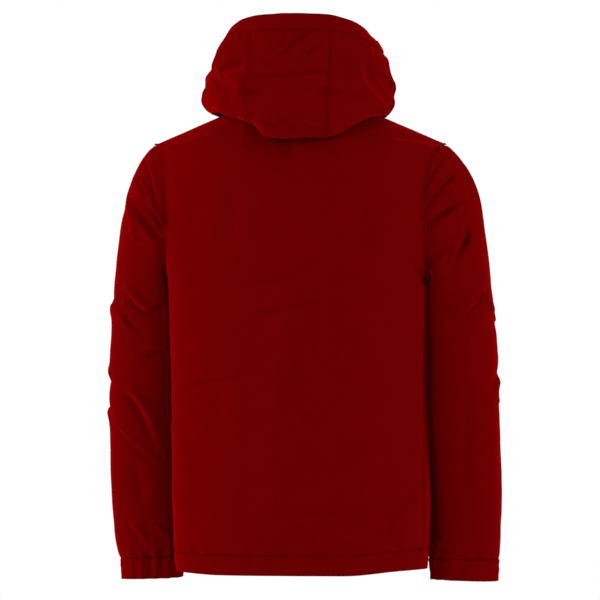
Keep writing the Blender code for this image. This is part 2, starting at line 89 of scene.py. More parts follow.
BodyLevel = namedtuple("BodyLevel", "z half_width back front")
BODY_LEVELS = (
    BodyLevel(HEM_SEAM_Z, 0.1950, 0.108, 0.112),
    BodyLevel(-0.590, 0.1975, 0.111, 0.117),
    BodyLevel(-0.480, 0.1990, 0.112, 0.120),
    BodyLevel(-0.360, 0.2005, 0.116, 0.124),
    BodyLevel(UNDERARM_Z, UNDERARM_X, 0.121, 0.126),
    BodyLevel(-0.140, CHEST_X, 0.122, 0.116),
)
ROLL_ROWS, ARMHOLE_ROWS, HEM_ROW = 4, 8, 17

# ---- Sleeves: the cloth's outer and inner side, the middle's place and half the depth
SleeveRing = namedtuple("SleeveRing", "outer_x outer_z inner_x inner_z middle_y half_depth")
SLEEVE_RINGS = (
    SleeveRing(0.2935, -0.259, 0.1900, -0.312, -0.030, 0.071),
    SleeveRing(0.3020, -0.350, 0.1900, -0.382, -0.036, 0.068),
    SleeveRing(0.3050, -0.445, 0.1900, -0.456, -0.040, 0.066),
    SleeveRing(0.3050, -0.540, 0.1900, -0.534, -0.052, 0.062),
    SleeveRing(0.3020, -0.622, 0.1900, -0.614, -0.066, 0.058),
    SleeveRing(0.2985, -0.662, 0.1910, -0.658, -0.072, 0.055),
    SleeveRing(0.2930, -0.686, 0.1970, -0.683, -0.076, 0.048),
)
CUFF_SEAM = len(SLEEVE_RINGS)
SLEEVE_ROUND = 2.45
SLEEVE_HANG = 0.008
HEAD_START_TOP, HEAD_START_UNDER = (0.140, 0.000, -0.110), (0.020, 0.000, -0.014)
HEAD_END_OUTER, HEAD_END_INNER = (0.020, -0.010, -0.300), (-0.020, -0.030, -0.110)
CUFF_DEPTH, CUFF_SPREAD = 0.033, 0.97
SLEEVE_CLEAR, CLEAR_RAMP = 0.0026, 0.045

# ---- Hood: a row for each turn of the cloth, from the neck seam to the face edge
HoodRow = namedtuple("HoodRow", "back_y back_z side_x side_z front_y front_z droop")
HOOD_ROWS = (
    HoodRow(0.064, 0.008, 0.0880, 0.0180, -0.0800, -0.0600, 2.0),
    HoodRow(0.071, 0.026, 0.0925, 0.0350, -0.0835, -0.0530, 2.0),
    HoodRow(0.088, 0.032, 0.1030, 0.0400, -0.0860, -0.0470, 1.8),
    HoodRow(0.108, 0.008, 0.1160, 0.0260, -0.0880, -0.0415, 1.6),
    HoodRow(0.121, -0.020, 0.1270, 0.0120, -0.0895, -0.0365, 1.5),
    HoodRow(0.134, -0.034, 0.1360, 0.0075, -0.0910, -0.0320, 1.5),
    HoodRow(0.148, -0.024, 0.1440, 0.0120, -0.0925, -0.0275, 1.6),
    HoodRow(0.154, 0.004, 0.1475, 0.0230, -0.0940, -0.0225, 2.0),
    HoodRow(0.147, 0.032, 0.1465, 0.0370, -0.0955, -0.0170, 2.4),
    HoodRow(0.145, 0.050, 0.1445, 0.0490, -0.0970, -0.0125, 2.6),
    HoodRow(0.139, 0.062, 0.1415, 0.0600, -0.0985, -0.0080, 2.8),
    HoodRow(0.133, 0.071, 0.1380, 0.0670, -0.1000, -0.0040, 3.0),
    HoodRow(0.127, 0.085, 0.1360, 0.0740, -0.1010, -0.0015, 3.2),
    HoodRow(0.119, 0.108, 0.1335, 0.0860, -0.1020, 0.0010, 3.4),
    HoodRow(0.110, 0.134, 0.1290, 0.1000, -0.1030, 0.0050, 3.5),
    HoodRow(0.100, 0.149, 0.1240, 0.1100, -0.1060, 0.0130, 3.5),
    HoodRow(0.091, 0.160, 0.1180, 0.1190, -0.1100, 0.0210, 3.5),
)
UNDERSIDE_ROW, BAND_SEAM_ROW, FACE_EDGE_ROW = 4, 14, 16
HOOD_ROUND = 0.86
HOOD_CENTRE_HALF = 0.062
FRONT_DROOP = 2.0
HOOD_CLEAR, FRONT_CLEAR = 0.0050, 0.0085
SLOPE_STEP, STEEPEST = 1.02, 3.0
SEAM_ANGLE = math.asin((4 / 6 + math.sin(math.pi / 3)) / 2)
SLIT_SHARE = 0.019
SLIT_ANGLE = math.pi - math.asin(SLIT_SHARE / NECK_SHARE)
SLIT_HALF = TIP_X * SLIT_SHARE

# ---- Grids
FINE, GROW = 0.0007, 1.45             # first step in from a seam, and how the steps grow
BODY_STEP, SLEEVE_STEP, HOOD_STEP, BAND_STEP = 0.0030, 0.0024, 0.0023, 0.0028
FRONT_SHARE = 1.6                     # steps in front against those behind
SAMPLES = 1500
SEARCH_STEPS = 22

# ---- Creases and seams, in metres
SEAM_SHADE_REACH = 0.0022
MERGE = 0.00001
PATH_STEPS = 6
END_SHARE = 0.35
CRISPNESS = 1.35                      # 2 is a round crease, less is sharper
SLOW_SIDE, STEEP_SIDE = 1.7, 0.85     # a fold rolls over towards its hollow
SEAM_DIP, SEAM_REACH, SEAM_ALLOWANCE = 0.0008, 0.0012, 0.0095
PUCKER, PUCKER_REACH = 0.00055, 0.010
ARMHOLE_LIP, SLEEVE_SINK = 0.0016, 0.0020     # the body's edge stands over the sleeve
HOLD_REACH = 0.010
WAVE, RIPPLE, CUFF_RIPPLE = 0.0012, 0.00035, 0.0009

# ---- Hem join, cuff stitching and the depth of one row of the hood
CASING_JOIN_X = 0.061
CUFF_STITCH = 0.0075
HOOD_ROW_DEPTH = 0.022

# ---- Zip
TOOTH_PITCH = 0.0028
TAPE_DEEP = 0.0016
TAPE_REACH = (-0.0033, -0.0018, -0.0003, 0.0030, 0.0060, 0.0090)
ZIP_TOP = ARMHOLE_ROWS + FACE_EDGE_ROW
SLIDER_ROW, TILT_BELOW, TILT_ABOVE = 13.9, 0.9, 0.7
SLIDER_PLATE = 0.0011
TAB_THICK = 0.0010

# ---- Floor and camera sensor
FLOOR_RADIUS = 8.5
SENSOR = 36.0


# ------------------------------------------------------------------ small helpers
def mix(start, end, share):
    return start + (end - start) * share


def ease(share):
    """A soft step from 0 to 1."""
    share = np.clip(share, 0.0, 1.0)
    return share * share * (3 - 2 * share)


def stack(x, y, z):
    return np.stack(np.broadcast_arrays(x, y, z), axis=-1).astype(float)


def smooth_value(places, values, at):
    """Values on a smooth curve through a table's points, for a whole array of places."""
    places, values = np.asarray(places, float), np.asarray(values, float)
    last = len(places) - 1
    before = np.maximum(np.arange(last + 1) - 1, 0)
    after = np.minimum(np.arange(last + 1) + 1, last)
    slopes = (values[after] - values[before]) / (places[after] - places[before])
    at = np.clip(at, places[0], places[-1])
    i = np.clip(np.searchsorted(places, at, side="right") - 1, 0, last - 1)
    span = places[i + 1] - places[i]
    t = (at - places[i]) / span
    return (values[i] * (1 + 2 * t) * (1 - t) ** 2 + slopes[i] * span * t * (1 - t) ** 2
            + values[i + 1] * t * t * (3 - 2 * t) + slopes[i + 1] * span * t * t * (t - 1))


def column_at(table, column, row):
    return smooth_value(range(len(table)), [getattr(entry, column) for entry in table], row)


def body_level(column, z):
    return smooth_value([level.z for level in BODY_LEVELS],
                        [getattr(level, column) for level in BODY_LEVELS], z)


def round_share(share, fullness):
    return np.maximum(1.0 - share ** fullness, 0.0) ** (1.0 / fullness)


# ------------------------------------------------------------------ body surface
def panel_top(face, across):
    """The top edge of a body panel: the neckline, and outside it the shoulder seam."""
    share = np.abs(across)
    to_neck = np.minimum(share / NECK_SHARE, 1.0)
    depth, drop = (NAPE_DEPTH, NAPE_DROP) if face > 0 else (THROAT_DEPTH, THROAT_DROP)
    y = face * depth * round_share(to_neck, NECK_ROUND)
    shoulder = mix(NECK_Z, TIP_Z, (share - NECK_SHARE) / (1 - NECK_SHARE))
    z = np.where(share < NECK_SHARE, NECK_Z - drop * (1 - to_neck ** 2), shoulder)
    return stack(TIP_X * across, y, z)


def body_point(face, across, row):
    """A point of the back (face 1) or front (face -1), between its side edges and rows."""
    across, row = np.broadcast_arrays(np.asarray(across, float), np.asarray(row, float))
    top = panel_top(face, across)
    roundness = BACK_ROUND if face > 0 else FRONT_ROUND
    armhole = ARMHOLE_BACK if face > 0 else ARMHOLE_FRONT
    roll = math.pi / 2 * np.clip(row / ROLL_ROWS, 0.0, 1.0)
    arm = np.sin(math.pi / 2 * np.clip((row - ROLL_ROWS) / (ARMHOLE_ROWS - ROLL_ROWS), 0, 1))
    low = np.clip((row - ARMHOLE_ROWS) / (HEM_ROW - ARMHOLE_ROWS), 0.0, 1.0)
    down = 1 - np.cos(roll)
    z = mix(top[..., 2] - SHOULDER_ROLL * down, UNDERARM_Z, arm)
    z = mix(z, HEM_SEAM_Z, low)
    half_width = mix(mix(TIP_X, CHEST_X, np.sin(roll)), UNDERARM_X, arm)
    half_width = np.where(low > 0, body_level("half_width", z), half_width)
    power = mix(ROLL_AT_MIDDLE, ROLL_AT_SHOULDER, np.minimum(np.abs(across) / NECK_SHARE, 1.0))
    rolled = np.maximum(1 - (1 - down) ** power, 0.0) ** (1 / power)
    edge = armhole * np.sqrt(np.maximum(1 - arm * arm, 0.0))
    depth = body_level("back" if face > 0 else "front", z)
    cut = 1 - (edge / depth) ** roundness
    full = depth * np.maximum(1 - cut * np.abs(across) ** roundness, 0.0) ** (1 / roundness)
    y = mix(np.abs(top[..., 1]), full, rolled)
    return stack(half_width * across, face * y, z)


def body_side(y, z):
    """How far the body reaches sideways at a depth and a height under the arm."""
    back = np.minimum(np.abs(y) / body_level("back", z), 1.0)
    front = np.minimum(np.abs(y) / body_level("front", z), 1.0)
    share = np.where(y > 0, round_share(back, BACK_ROUND), round_share(front, FRONT_ROUND))
    return body_level("half_width", z) * share


def hem_point(around, down):
    """A point of the hem band; around is -1 to 1 over the back and on to 3 over the front."""
    around, down = np.broadcast_arrays(np.asarray(around, float), np.asarray(down, float))
    back = body_point(1, np.clip(around, -1, 1), HEM_ROW)
    front = body_point(-1, np.clip(2 - around, -1, 1), HEM_ROW)
    seam = np.where((around > 1)[..., None], front, back)
    draw = mix(1.0, HEM_EDGE_DRAW, down)
    return stack(seam[..., 0] * draw, seam[..., 1] * draw, mix(HEM_SEAM_Z, HEM_EDGE_Z, down))


def shoulder_height(x, y):
    """The height of the body's cloth over the shoulders; nowhere in the neck opening."""
    across = np.clip(x / TIP_X, -1.0, 1.0)
    height = np.full(np.shape(x), -np.inf)
    for face in (1, -1):
        here = (y > 0) if face > 0 else (y <= 0)
        here &= np.abs(y) >= np.abs(panel_top(face, across)[..., 1])
        low, high = np.zeros(here.sum()), np.full(here.sum(), float(ROLL_ROWS))
        for _ in range(SEARCH_STEPS):
            middle = (low + high) / 2
            short = np.abs(body_point(face, across[here], middle)[..., 1]) < np.abs(y[here])
            low = np.where(short, middle, low)
            high = np.where(short, high, middle)
        height[here] = body_point(face, across[here], low)[..., 2]
    return height


# ------------------------------------------------------------------ sleeve surface
def armhole_point(side, turn):
    back = body_point(1, side, np.minimum(turn, 0.5) * 2 * ARMHOLE_ROWS)
    front = body_point(-1, side, (1 - np.maximum(turn, 0.5)) * 2 * ARMHOLE_ROWS)
    return np.where((turn <= 0.5)[..., None], back, front)


def sleeve_ring_point(side, turn, ring):
    angle = math.tau * turn
    out, back = np.cos(angle), np.sin(angle)
    reach = (np.abs(out) ** SLEEVE_ROUND + np.abs(back) ** SLEEVE_ROUND) ** (-1 / SLEEVE_ROUND)
    outer_share = (1 + out * reach) / 2
    hang = 0.0 if side > 0 else SLEEVE_HANG * (ring / (CUFF_SEAM - 1)) ** 2
    x = mix(column_at(SLEEVE_RINGS, "inner_x", ring),
            column_at(SLEEVE_RINGS, "outer_x", ring) + hang, outer_share)
    z = mix(column_at(SLEEVE_RINGS, "inner_z", ring),
            column_at(SLEEVE_RINGS, "outer_z", ring), outer_share)
    y = (column_at(SLEEVE_RINGS, "middle_y", ring)
         + column_at(SLEEVE_RINGS, "half_depth", ring) * back * reach)
    return stack(side * x, y, z)


def sleeve_point(side, turn, place):
    """A point of the sleeve: place 0 to 1 is its head, then one for each ring."""
    turn, place = np.broadcast_arrays(np.asarray(turn, float), np.asarray(place, float))
    below = sleeve_ring_point(side, turn, np.maximum(place - 1, 0.0))
    outer = ((1 + np.cos(math.tau * turn)) / 2)[..., None]
    mirror = np.array((side, 1, 1))
    start = mix(np.array(HEAD_START_UNDER), np.array(HEAD_START_TOP), outer) * mirror
    end = mix(np.array(HEAD_END_INNER), np.array(HEAD_END_OUTER), outer) * mirror
    seam = armhole_point(side, turn)
    first = sleeve_ring_point(side, turn, 0 * turn)
    t = np.minimum(place, 1.0)[..., None]
    head = (seam * (1 + 2 * t) * (1 - t) ** 2 + start * t * (1 - t) ** 2
            + first * t * t * (3 - 2 * t) + end * t * t * (t - 1))
    point = np.where((place >= 1)[..., None], below, head)
    ramp = np.minimum(np.linalg.norm(seam - point, axis=-1) / CLEAR_RAMP, 1.0)
    ramp = np.where(place >= 1, 1.0, ramp)
    clear = body_side(point[..., 1], np.minimum(point[..., 2], UNDERARM_Z)) + SLEEVE_CLEAR * ramp
    x = np.maximum(np.abs(point[..., 0]), clear)
    point[..., 0] = np.where(point[..., 2] < UNDERARM_Z + CLEAR_RAMP, side * x, point[..., 0])
    return point


def cuff_point(side, turn, down):
    """A point of the cuff, from its seam (down 0) to the lower edge (down 1)."""
    turn, down = np.broadcast_arrays(np.asarray(turn, float), np.asarray(down, float))
    seam = sleeve_point(side, turn, CUFF_SEAM)
    ends = sleeve_point(side, np.array((0.0, 0.5)), CUFF_SEAM)
    middle = ends.mean(axis=0)
    middle[1] = SLEEVE_RINGS[-1].middle_y
    point = mix(middle, seam, mix(1.0, CUFF_SPREAD, down)[..., None])
    point[..., 2] -= CUFF_DEPTH * down
    return point


# ------------------------------------------------------------------ hood surface
def hood_point(angle, row):
    """A point of the hood: 0 at the centre back, rows from the neck seam to the face edge."""
    angle, row = np.broadcast_arrays(np.asarray(angle, float), np.asarray(row, float))
    side, place = np.sign(angle), np.abs(angle)
    side_x = column_at(HOOD_ROWS, "side_x", row)
    seam_turn = np.arcsin((HOOD_CENTRE_HALF / side_x) ** (1 / HOOD_ROUND))
    share = np.minimum(np.sin(np.minimum(place, SEAM_ANGLE)) / math.sin(SEAM_ANGLE), 1.0)
    middle_turn = np.arcsin((share * HOOD_CENTRE_HALF / side_x) ** (1 / HOOD_ROUND))
    end = math.pi - np.arcsin((SLIT_HALF / side_x) ** (1 / HOOD_ROUND))
    side_turn = mix(seam_turn, end, (place - SEAM_ANGLE) / (SLIT_ANGLE - SEAM_ANGLE))
    turn = np.where(place <= SEAM_ANGLE, middle_turn, side_turn)
    out, back = np.sin(turn), np.cos(turn)
    behind = back > 0
    droop = np.where(behind, column_at(HOOD_ROWS, "droop", row), FRONT_DROOP)
    reach_y = np.where(behind, column_at(HOOD_ROWS, "back_y", row),
                       column_at(HOOD_ROWS, "front_y", row))
    end_z = np.where(behind, column_at(HOOD_ROWS, "back_z", row),
                     column_at(HOOD_ROWS, "front_z", row))
    x = side * side_x * out ** HOOD_ROUND
    y = reach_y * np.abs(back) ** HOOD_ROUND
    z = mix(column_at(HOOD_ROWS, "side_z", row), end_z, 1 - out ** droop)
    rest = shoulder_height(x, y)
    near = shoulder_height(x * SLOPE_STEP, y * SLOPE_STEP)
    known = np.isfinite(rest) & np.isfinite(near)
    run = np.hypot(x, y) * (SLOPE_STEP - 1)
    slope = np.hypot(1.0, np.where(known, near - np.where(known, rest, 0), 0) / run)
    clear = HOOD_CLEAR + FRONT_CLEAR * np.maximum(-back, 0.0)
    lifted = rest + clear * np.minimum(slope, STEEPEST) * np.minimum(row, 1.0)
    point = stack(x, y, np.maximum(z, lifted))
    neck_back = panel_top(1, side * NECK_SHARE * np.sin(place))
    neck_front = panel_top(-1, side * NECK_SHARE * np.sin(place))
    neck = np.where((place <= math.pi / 2)[..., None], neck_back, neck_front)
    return mix(neck, point, ease(row / 0.5)[..., None])


# ------------------------------------------------------------------ cloth grids
def spacing(length, step, fine_start=True, fine_end=True):
    """Distances along a length: fine steps at its sewn ends, even steps between."""
    lead = [0.0]
    size = FINE
    while size < step:
        lead.append(lead[-1] + size)
        size *= GROW
    lead = np.array(lead)
    start = lead if fine_start else lead[:1]
    end = length - (lead if fine_end else lead[:1])[::-1]
    count = max(round((end[0] - start[-1]) / step), 1)
    middle = np.linspace(start[-1], end[0], count + 1)
    return np.concatenate((start[:-1], middle, end[1:]))


def places_along(curve, places, step, **ends):
    """Places on a curve that lie at those distances along it."""
    walked = np.r_[0.0, np.cumsum(np.linalg.norm(np.diff(curve, axis=0), axis=1))]
    return np.interp(spacing(walked[-1], step, **ends), walked, places)


class Cloth:
    """A cut piece as a grid of points: rows down it, columns across it."""

    def __init__(self, place, columns, rows, closed=False, turned=False):
        self.columns, self.rows = np.asarray(columns, float), np.asarray(rows, float)
        self.closed, self.turned = closed, turned
        self.points = place(self.columns[None, :], self.rows[:, None])
        self.normals = self.outward()
        across = np.linalg.norm(np.diff(self.points, axis=1), axis=-1)
        down = np.linalg.norm(np.diff(self.points, axis=0), axis=-1)
        self.start = np.pad(np.cumsum(across, axis=1), ((0, 0), (1, 0)))
        self.top = np.pad(np.cumsum(down, axis=0), ((1, 0), (0, 0)))
        self.end = self.start[:, -1:] - self.start
        self.bottom = self.top[-1:] - self.top

    def outward(self):
        """Which way the cloth faces at each point."""
        along_rows = np.gradient(self.points, axis=0)
        if self.closed:
            ring = self.points[:, :-1]
            across = np.roll(ring, -1, axis=1) - np.roll(ring, 1, axis=1)
            across = np.concatenate((across, across[:, :1]), axis=1)
        else:
            across = np.gradient(self.points, axis=1)
        normals = np.cross(across, along_rows)
        normals /= np.maximum(np.linalg.norm(normals, axis=-1, keepdims=True), 1e-12)
        return -normals if self.turned else normals

    def push(self, height):
        """Move the cloth along its own outward direction."""
        self.points = self.points + self.normals * height[..., None]
        self.normals = self.outward()

    def line(self, edge, distance):
        """Points and outward directions along a line that far in from an edge."""
        away = getattr(self, edge)
        both = np.concatenate((self.points, self.normals), axis=-1)
        if edge in ("top", "bottom"):
            away, both = away.T, both.transpose(1, 0, 2)
        found = []
        for distances, values in zip(away, both):
            if distances[0] > distances[-1]:
                distances, values = distances[::-1], values[::-1]
            found.append([np.interp(distance, distances, values[:, k]) for k in range(6)])
        found = np.array(found)
        return found[:, :3], found[:, 3:]


def cloth_object(name, cloth, wall, material, keep=None, round_rim=0.0):
    """The piece as an object: a grid moved onto the cloth's points, with a wall."""
    tall, wide = cloth.points.shape[:2]
    sheet = bmesh.new()
    sheet.loops.layers.uv.new("cut")
    bmesh.ops.create_grid(sheet, x_segments=wide - 1, y_segments=tall - 1, size=1.0,
                          calc_uvs=True)
    sheet.verts.index_update()
    chart = sheet.loops.layers.uv["cut"]
    # The seam layer is high next to each sewn edge. The cloth's material darkens it there as
    # painted shade in the seam lines, with a little for the seam allowance showing through.
    shade = sheet.verts.layers.float.new("seam")
    near = np.minimum.reduce((cloth.top, cloth.bottom)
                             + (() if cloth.closed else (cloth.start, cloth.end)))
    place = {}
    for vertex in sheet.verts:
        i = round((vertex.co.x + 1) / 2 * (wide - 1))
        j = round((vertex.co.y + 1) / 2 * (tall - 1))
        place[vertex.index] = (j, i)
        vertex.co = cloth.points[j, i]
        vertex[shade] = math.exp(-near[j, i] / SEAM_SHADE_REACH)
    for face in sheet.faces:
        for loop in face.loops:
            at = place[loop.vert.index]
            loop[chart].uv = (cloth.start[at], cloth.top[at])
    if keep is not None:
        spare = [face for face in sheet.faces if not keep(face.calc_center_median())]
        bmesh.ops.delete(sheet, geom=spare, context="FACES")
    if cloth.closed:
        bmesh.ops.remove_doubles(sheet, verts=sheet.verts[:], dist=MERGE)
    if cloth.turned:
        bmesh.ops.reverse_faces(sheet, faces=sheet.faces[:])
    piece = new_object(name, sheet, material)
    solid = piece.modifiers.new("wall", "SOLIDIFY")
    solid.thickness = wall
    solid.offset = 0.0
    if round_rim:
        bevel = piece.modifiers.new("folded edge", "BEVEL")
        bevel.width = round_rim
        bevel.segments = 3
        bevel.limit_method = "ANGLE"
        bevel.angle_limit = math.radians(50)
    return piece


def new_object(name, shape, material):
    mesh = bpy.data.meshes.new(name)
    shape.to_mesh(mesh)
    shape.free()
    mesh.materials.append(material)
    mesh.shade_smooth()
    piece = bpy.data.objects.new(name, mesh)
    bpy.context.scene.collection.objects.link(piece)
    return piece


# ------------------------------------------------------------------ creases
FACING = {"back": (0, (0, 1, 0)), "front": (0, (0, -1, 0)),
          "left": (1, (1, 0, 0)), "right": (1, (-1, 0, 0))}
# A crease is a soft ridge (height above 0) or trough, seen square on from one side of
# the garment. Its points are X and Z seen from the back or front, and Y and Z seen from
# the left or right. width is half its breadth. hollow is the share of its height that
# the cloth beside it moves the other way, to the right of its run, or left if negative.
# start and end say how much of its height it has at its ends.
Crease = namedtuple("Crease", "side width height hollow start end points")


def crease_path(points):
    """A smooth line through a crease's points."""
    points = np.array(points, float)
    steps = np.linspace(0, len(points) - 1, PATH_STEPS * (len(points) - 1) + 1)
    return np.stack([smooth_value(range(len(points)), points[:, k], steps) for k in (0, 1)],
                    axis=-1)


def crease_height(points, normals, creases):
    """How far a list of creases moves each point of a piece."""
    height = np.zeros(points.shape[:-1])
    for crease in creases:
        axis, facing = FACING[crease.side]
        seen = points[..., (axis, 2)]
        weight = ease((normals @ np.array(facing) + 0.10) / 0.35)
        path = crease_path(crease.points)
        reach = 4.5 * crease.width
        inside = ((seen > path.min(axis=0) - reach) & (seen < path.max(axis=0) + reach)).all(-1)
        inside &= weight > 0
        if not inside.any():
            continue
        spot = seen[inside]
        best = np.full(len(spot), np.inf)
        offset, along = np.zeros(len(spot)), np.zeros(len(spot))
        for k in range(len(path) - 1):
            run = path[k + 1] - path[k]
            t = np.clip((spot - path[k]) @ run / (run @ run), 0.0, 1.0)
            gap = spot - path[k] - t[:, None] * run
            distance = np.hypot(gap[:, 0], gap[:, 1])
            sign = np.sign(run[0] * gap[:, 1] - run[1] * gap[:, 0])
            nearer = distance < best
            best = np.where(nearer, distance, best)
            offset = np.where(nearer, -sign * distance, offset)
            along = np.where(nearer, (k + t) / (len(path) - 1), along)
        lean = offset * math.copysign(1.0, crease.hollow) / crease.width
        lean = np.where(lean < 0, lean / SLOW_SIDE, lean / STEEP_SIDE)
        profile = np.exp(-np.abs(lean) ** CRISPNESS)
        profile -= abs(crease.hollow) * np.exp(-((lean - 1.9) / 1.3) ** 2)
        ends = (mix(crease.start, 1.0, ease(along / END_SHARE))
                * mix(crease.end, 1.0, ease((1 - along) / END_SHARE)))
        height[inside] += crease.height * profile * ends * weight[inside]
    return height


def unevenness(points, scale, seed):
    """Smooth noise between about -1 and 1; the same on pieces that share a seam."""
    flat = points.reshape(-1, 3) / scale + seed
    values = [noise.noise(Vector(p)) for p in flat]
    return np.array(values).reshape(points.shape[:-1]) * 1.6


def seam_height(distance, allowance=0.0):
    """The cloth dips into a seam, and lies a little proud over its seam allowance."""
    dip = -SEAM_DIP * np.exp(-(distance / SEAM_REACH) ** 2)
    return dip + allowance * ease((SEAM_ALLOWANCE - distance) / 0.0025)


def pucker(points, distance):
    """Small waves where a stitched seam draws the cloth up."""
    return PUCKER * unevenness(points, 0.013, 5.0) * np.exp(-distance / PUCKER_REACH)


def soft_folds(cloth, creases, *sewn):
    """The creases and the unevenness of a piece, held down along its sewn edges."""
    strength = bpy.context.scene.anorak_cloth.crease_strength
    free = np.ones(cloth.points.shape[:-1])
    for distance in sewn:
        free = free * ease(distance / HOLD_REACH)
    height = strength * crease_height(cloth.points, cloth.normals, creases)
    height += WAVE * unevenness(cloth.points, 0.085, 1.0)
    height += RIPPLE * unevenness(cloth.points, 0.028, 9.0)
    return height * free


# ---- Creases, as X, Z from the back or front and Y, Z from the left or right
BACK_CREASES = (
    Crease("back", 0.0034, 0.0026, 0.95, 0.2, 0.6,
           ((-0.1965, -0.215), (-0.1930, -0.344), (-0.1905, -0.520), (-0.1885, -0.690))),
    Crease("back", 0.0170, 0.0034, 0.35, 0.0, 0.2,
           ((-0.023, -0.239), (0.004, -0.313), (0.022, -0.468), (0.028, -0.660))),
    Crease("back", 0.0045, 0.0016, 0.55, 0.3, 0.0,
           ((0.177, -0.270), (0.090, -0.267), (0.002, -0.260), (-0.029, -0.239))),
    Crease("back", 0.0050, -0.0018, 0.45, 0.0, 0.2,
           ((0.077, -0.313), (-0.004, -0.294), (-0.086, -0.285))),
    Crease("back", 0.0045, 0.0016, 0.50, 0.1, 0.8,
           ((-0.111, -0.291), (-0.158, -0.276), (-0.202, -0.259))),
    Crease("back", 0.0036, -0.0015, 0.50, 0.9, 0.0,
           ((0.178, -0.418), (0.108, -0.405), (0.039, -0.388))),
    Crease("back", 0.0036, 0.0012, 0.55, 0.0, 0.7,
           ((0.055, -0.623), (-0.033, -0.620), (-0.123, -0.615))),
    Crease("back", 0.0130, -0.0020, 0.40, 0.0, 0.0,
           ((0.076, -0.096), (0.087, -0.158), (0.091, -0.223))),
    Crease("back", 0.0048, -0.0028, 0.75, 0.6, 0.2,
           ((-0.192, -0.570), (-0.164, -0.608), (-0.136, -0.648))),
    Crease("back", 0.0110, 0.0028, 0.35, 0.0, 0.3,
           ((-0.172, -0.470), (-0.168, -0.561), (-0.152, -0.640))),
    Crease("back", 0.0032, -0.0018, 0.50, 0.2, 0.8,
           ((-0.165, -0.636), (-0.162, -0.674))),
    Crease("back", 0.0040, -0.0020, 0.50, 0.2, 0.8,
           ((0.157, -0.648), (0.143, -0.675))),
    Crease("back", 0.0035, -0.0014, 0.50, 0.1, 0.8,
           ((0.172, -0.652), (0.166, -0.676))),
    Crease("back", 0.0050, -0.0030, 0.60, 0.1, 1.0,
           ((-0.184, -0.214), (-0.193, -0.240), (-0.206, -0.259))),
    Crease("back", 0.0042, 0.0010, 0.60, 0.0, 0.1,
           ((-0.073, -0.363), (-0.123, -0.349), (-0.173, -0.329))),
    Crease("back", 0.0040, 0.0010, 0.60, 0.6, 0.0,
           ((0.180, -0.378), (0.158, -0.360), (0.133, -0.341))),
    Crease("back", 0.0060, 0.0022, 0.60, 0.0, 0.9,
           ((-0.132, -0.036), (-0.176, -0.043), (-0.215, -0.049))),
    Crease("back", 0.0065, 0.0018, -0.50, 0.0, 0.8,
           ((0.120, -0.026), (0.171, -0.040), (0.212, -0.052))),
    Crease("back", 0.0200, -0.0024, 0.30, 0.1, 0.0,
           ((0.160, -0.100), (0.152, -0.150), (0.140, -0.205))),
    Crease("back", 0.0160, 0.0026, 0.30, 0.6, 0.0,
           ((0.198, -0.222), (0.172, -0.240), (0.150, -0.262))),
    Crease("back", 0.0220, -0.0022, 0.30, 0.0, 0.0,
           ((-0.120, -0.110), (-0.112, -0.180), (-0.118, -0.240))),
    Crease("back", 0.0240, 0.0020, 0.40, 0.0, 0.0,
           ((-0.040, -0.130), (-0.034, -0.190), (-0.050, -0.235))),
    Crease("back", 0.0190, -0.0018, 0.40, 0.0, 0.0,
           ((0.118, -0.330), (0.112, -0.450), (0.122, -0.600))),
    Crease("back", 0.0210, -0.0016, 0.40, 0.0, 0.0,
           ((-0.095, -0.400), (-0.088, -0.500), (-0.078, -0.600))),
    Crease("back", 0.0100, 0.0018, 0.50, 0.8, 0.0,
           ((0.190, -0.480), (0.170, -0.520), (0.150, -0.585))),
)
FRONT_CREASES = (
    Crease("front", 0.0048, 0.0020, 0.60, 0.8, 0.0,
           ((0.196, -0.236), (0.150, -0.262), (0.094, -0.300))),
    Crease("front", 0.0050, -0.0020, 0.50, 0.7, 0.0,
           ((-0.198, -0.232), (-0.160, -0.270), (-0.120, -0.322))),
    Crease("front", 0.0180, 0.0032, -0.35, 0.0, 0.2,
           ((0.050, -0.300), (0.062, -0.430), (0.058, -0.640))),
    Crease("front", 0.0160, 0.0030, 0.35, 0.0, 0.2,
           ((-0.070, -0.270), (-0.084, -0.400), (-0.090, -0.650))),
    Crease("front", 0.0190, -0.0024, 0.35, 0.0, 0.0,
           ((0.124, -0.110), (0.130, -0.180), (0.116, -0.290))),
    Crease("front", 0.0170, -0.0022, 0.35, 0.0, 0.0,
           ((-0.116, -0.100), (-0.126, -0.190), (-0.110, -0.300))),
    Crease("front", 0.0040, 0.0014, 0.60, 0.1, 0.6,
           ((0.006, -0.268), (0.040, -0.286), (0.092, -0.296))),
    Crease("front", 0.0042, -0.0014, 0.60, 0.3, 0.0,
           ((-0.006, -0.262), (-0.044, -0.290), (-0.072, -0.330))),
    Crease("front", 0.0044, 0.0016, 0.60, 0.7, 0.0,
           ((0.192, -0.430), (0.140, -0.448), (0.086, -0.452))),
    Crease("front", 0.0044, -0.0016, 0.60, 0.7, 0.0,
           ((-0.194, -0.500), (-0.150, -0.492), (-0.096, -0.508))),
    Crease("front", 0.0048, -0.0026, 0.70, 0.5, 0.2,
           ((0.188, -0.580), (0.160, -0.618), (0.130, -0.662))),
    Crease("front", 0.0036, -0.0018, 0.50, 0.1, 0.8,
           ((-0.150, -0.640), (-0.143, -0.675))),
    Crease("front", 0.0034, -0.0015, 0.50, 0.1, 0.8,
           ((0.084, -0.648), (0.080, -0.675))),
    Crease("front", 0.0060, 0.0020, 0.60, 0.0, 0.9,
           ((0.130, -0.040), (0.172, -0.048), (0.212, -0.056))),
    Crease("front", 0.0060, 0.0018, -0.60, 0.0, 0.9,
           ((-0.128, -0.038), (-0.170, -0.050), (-0.212, -0.060))),
)
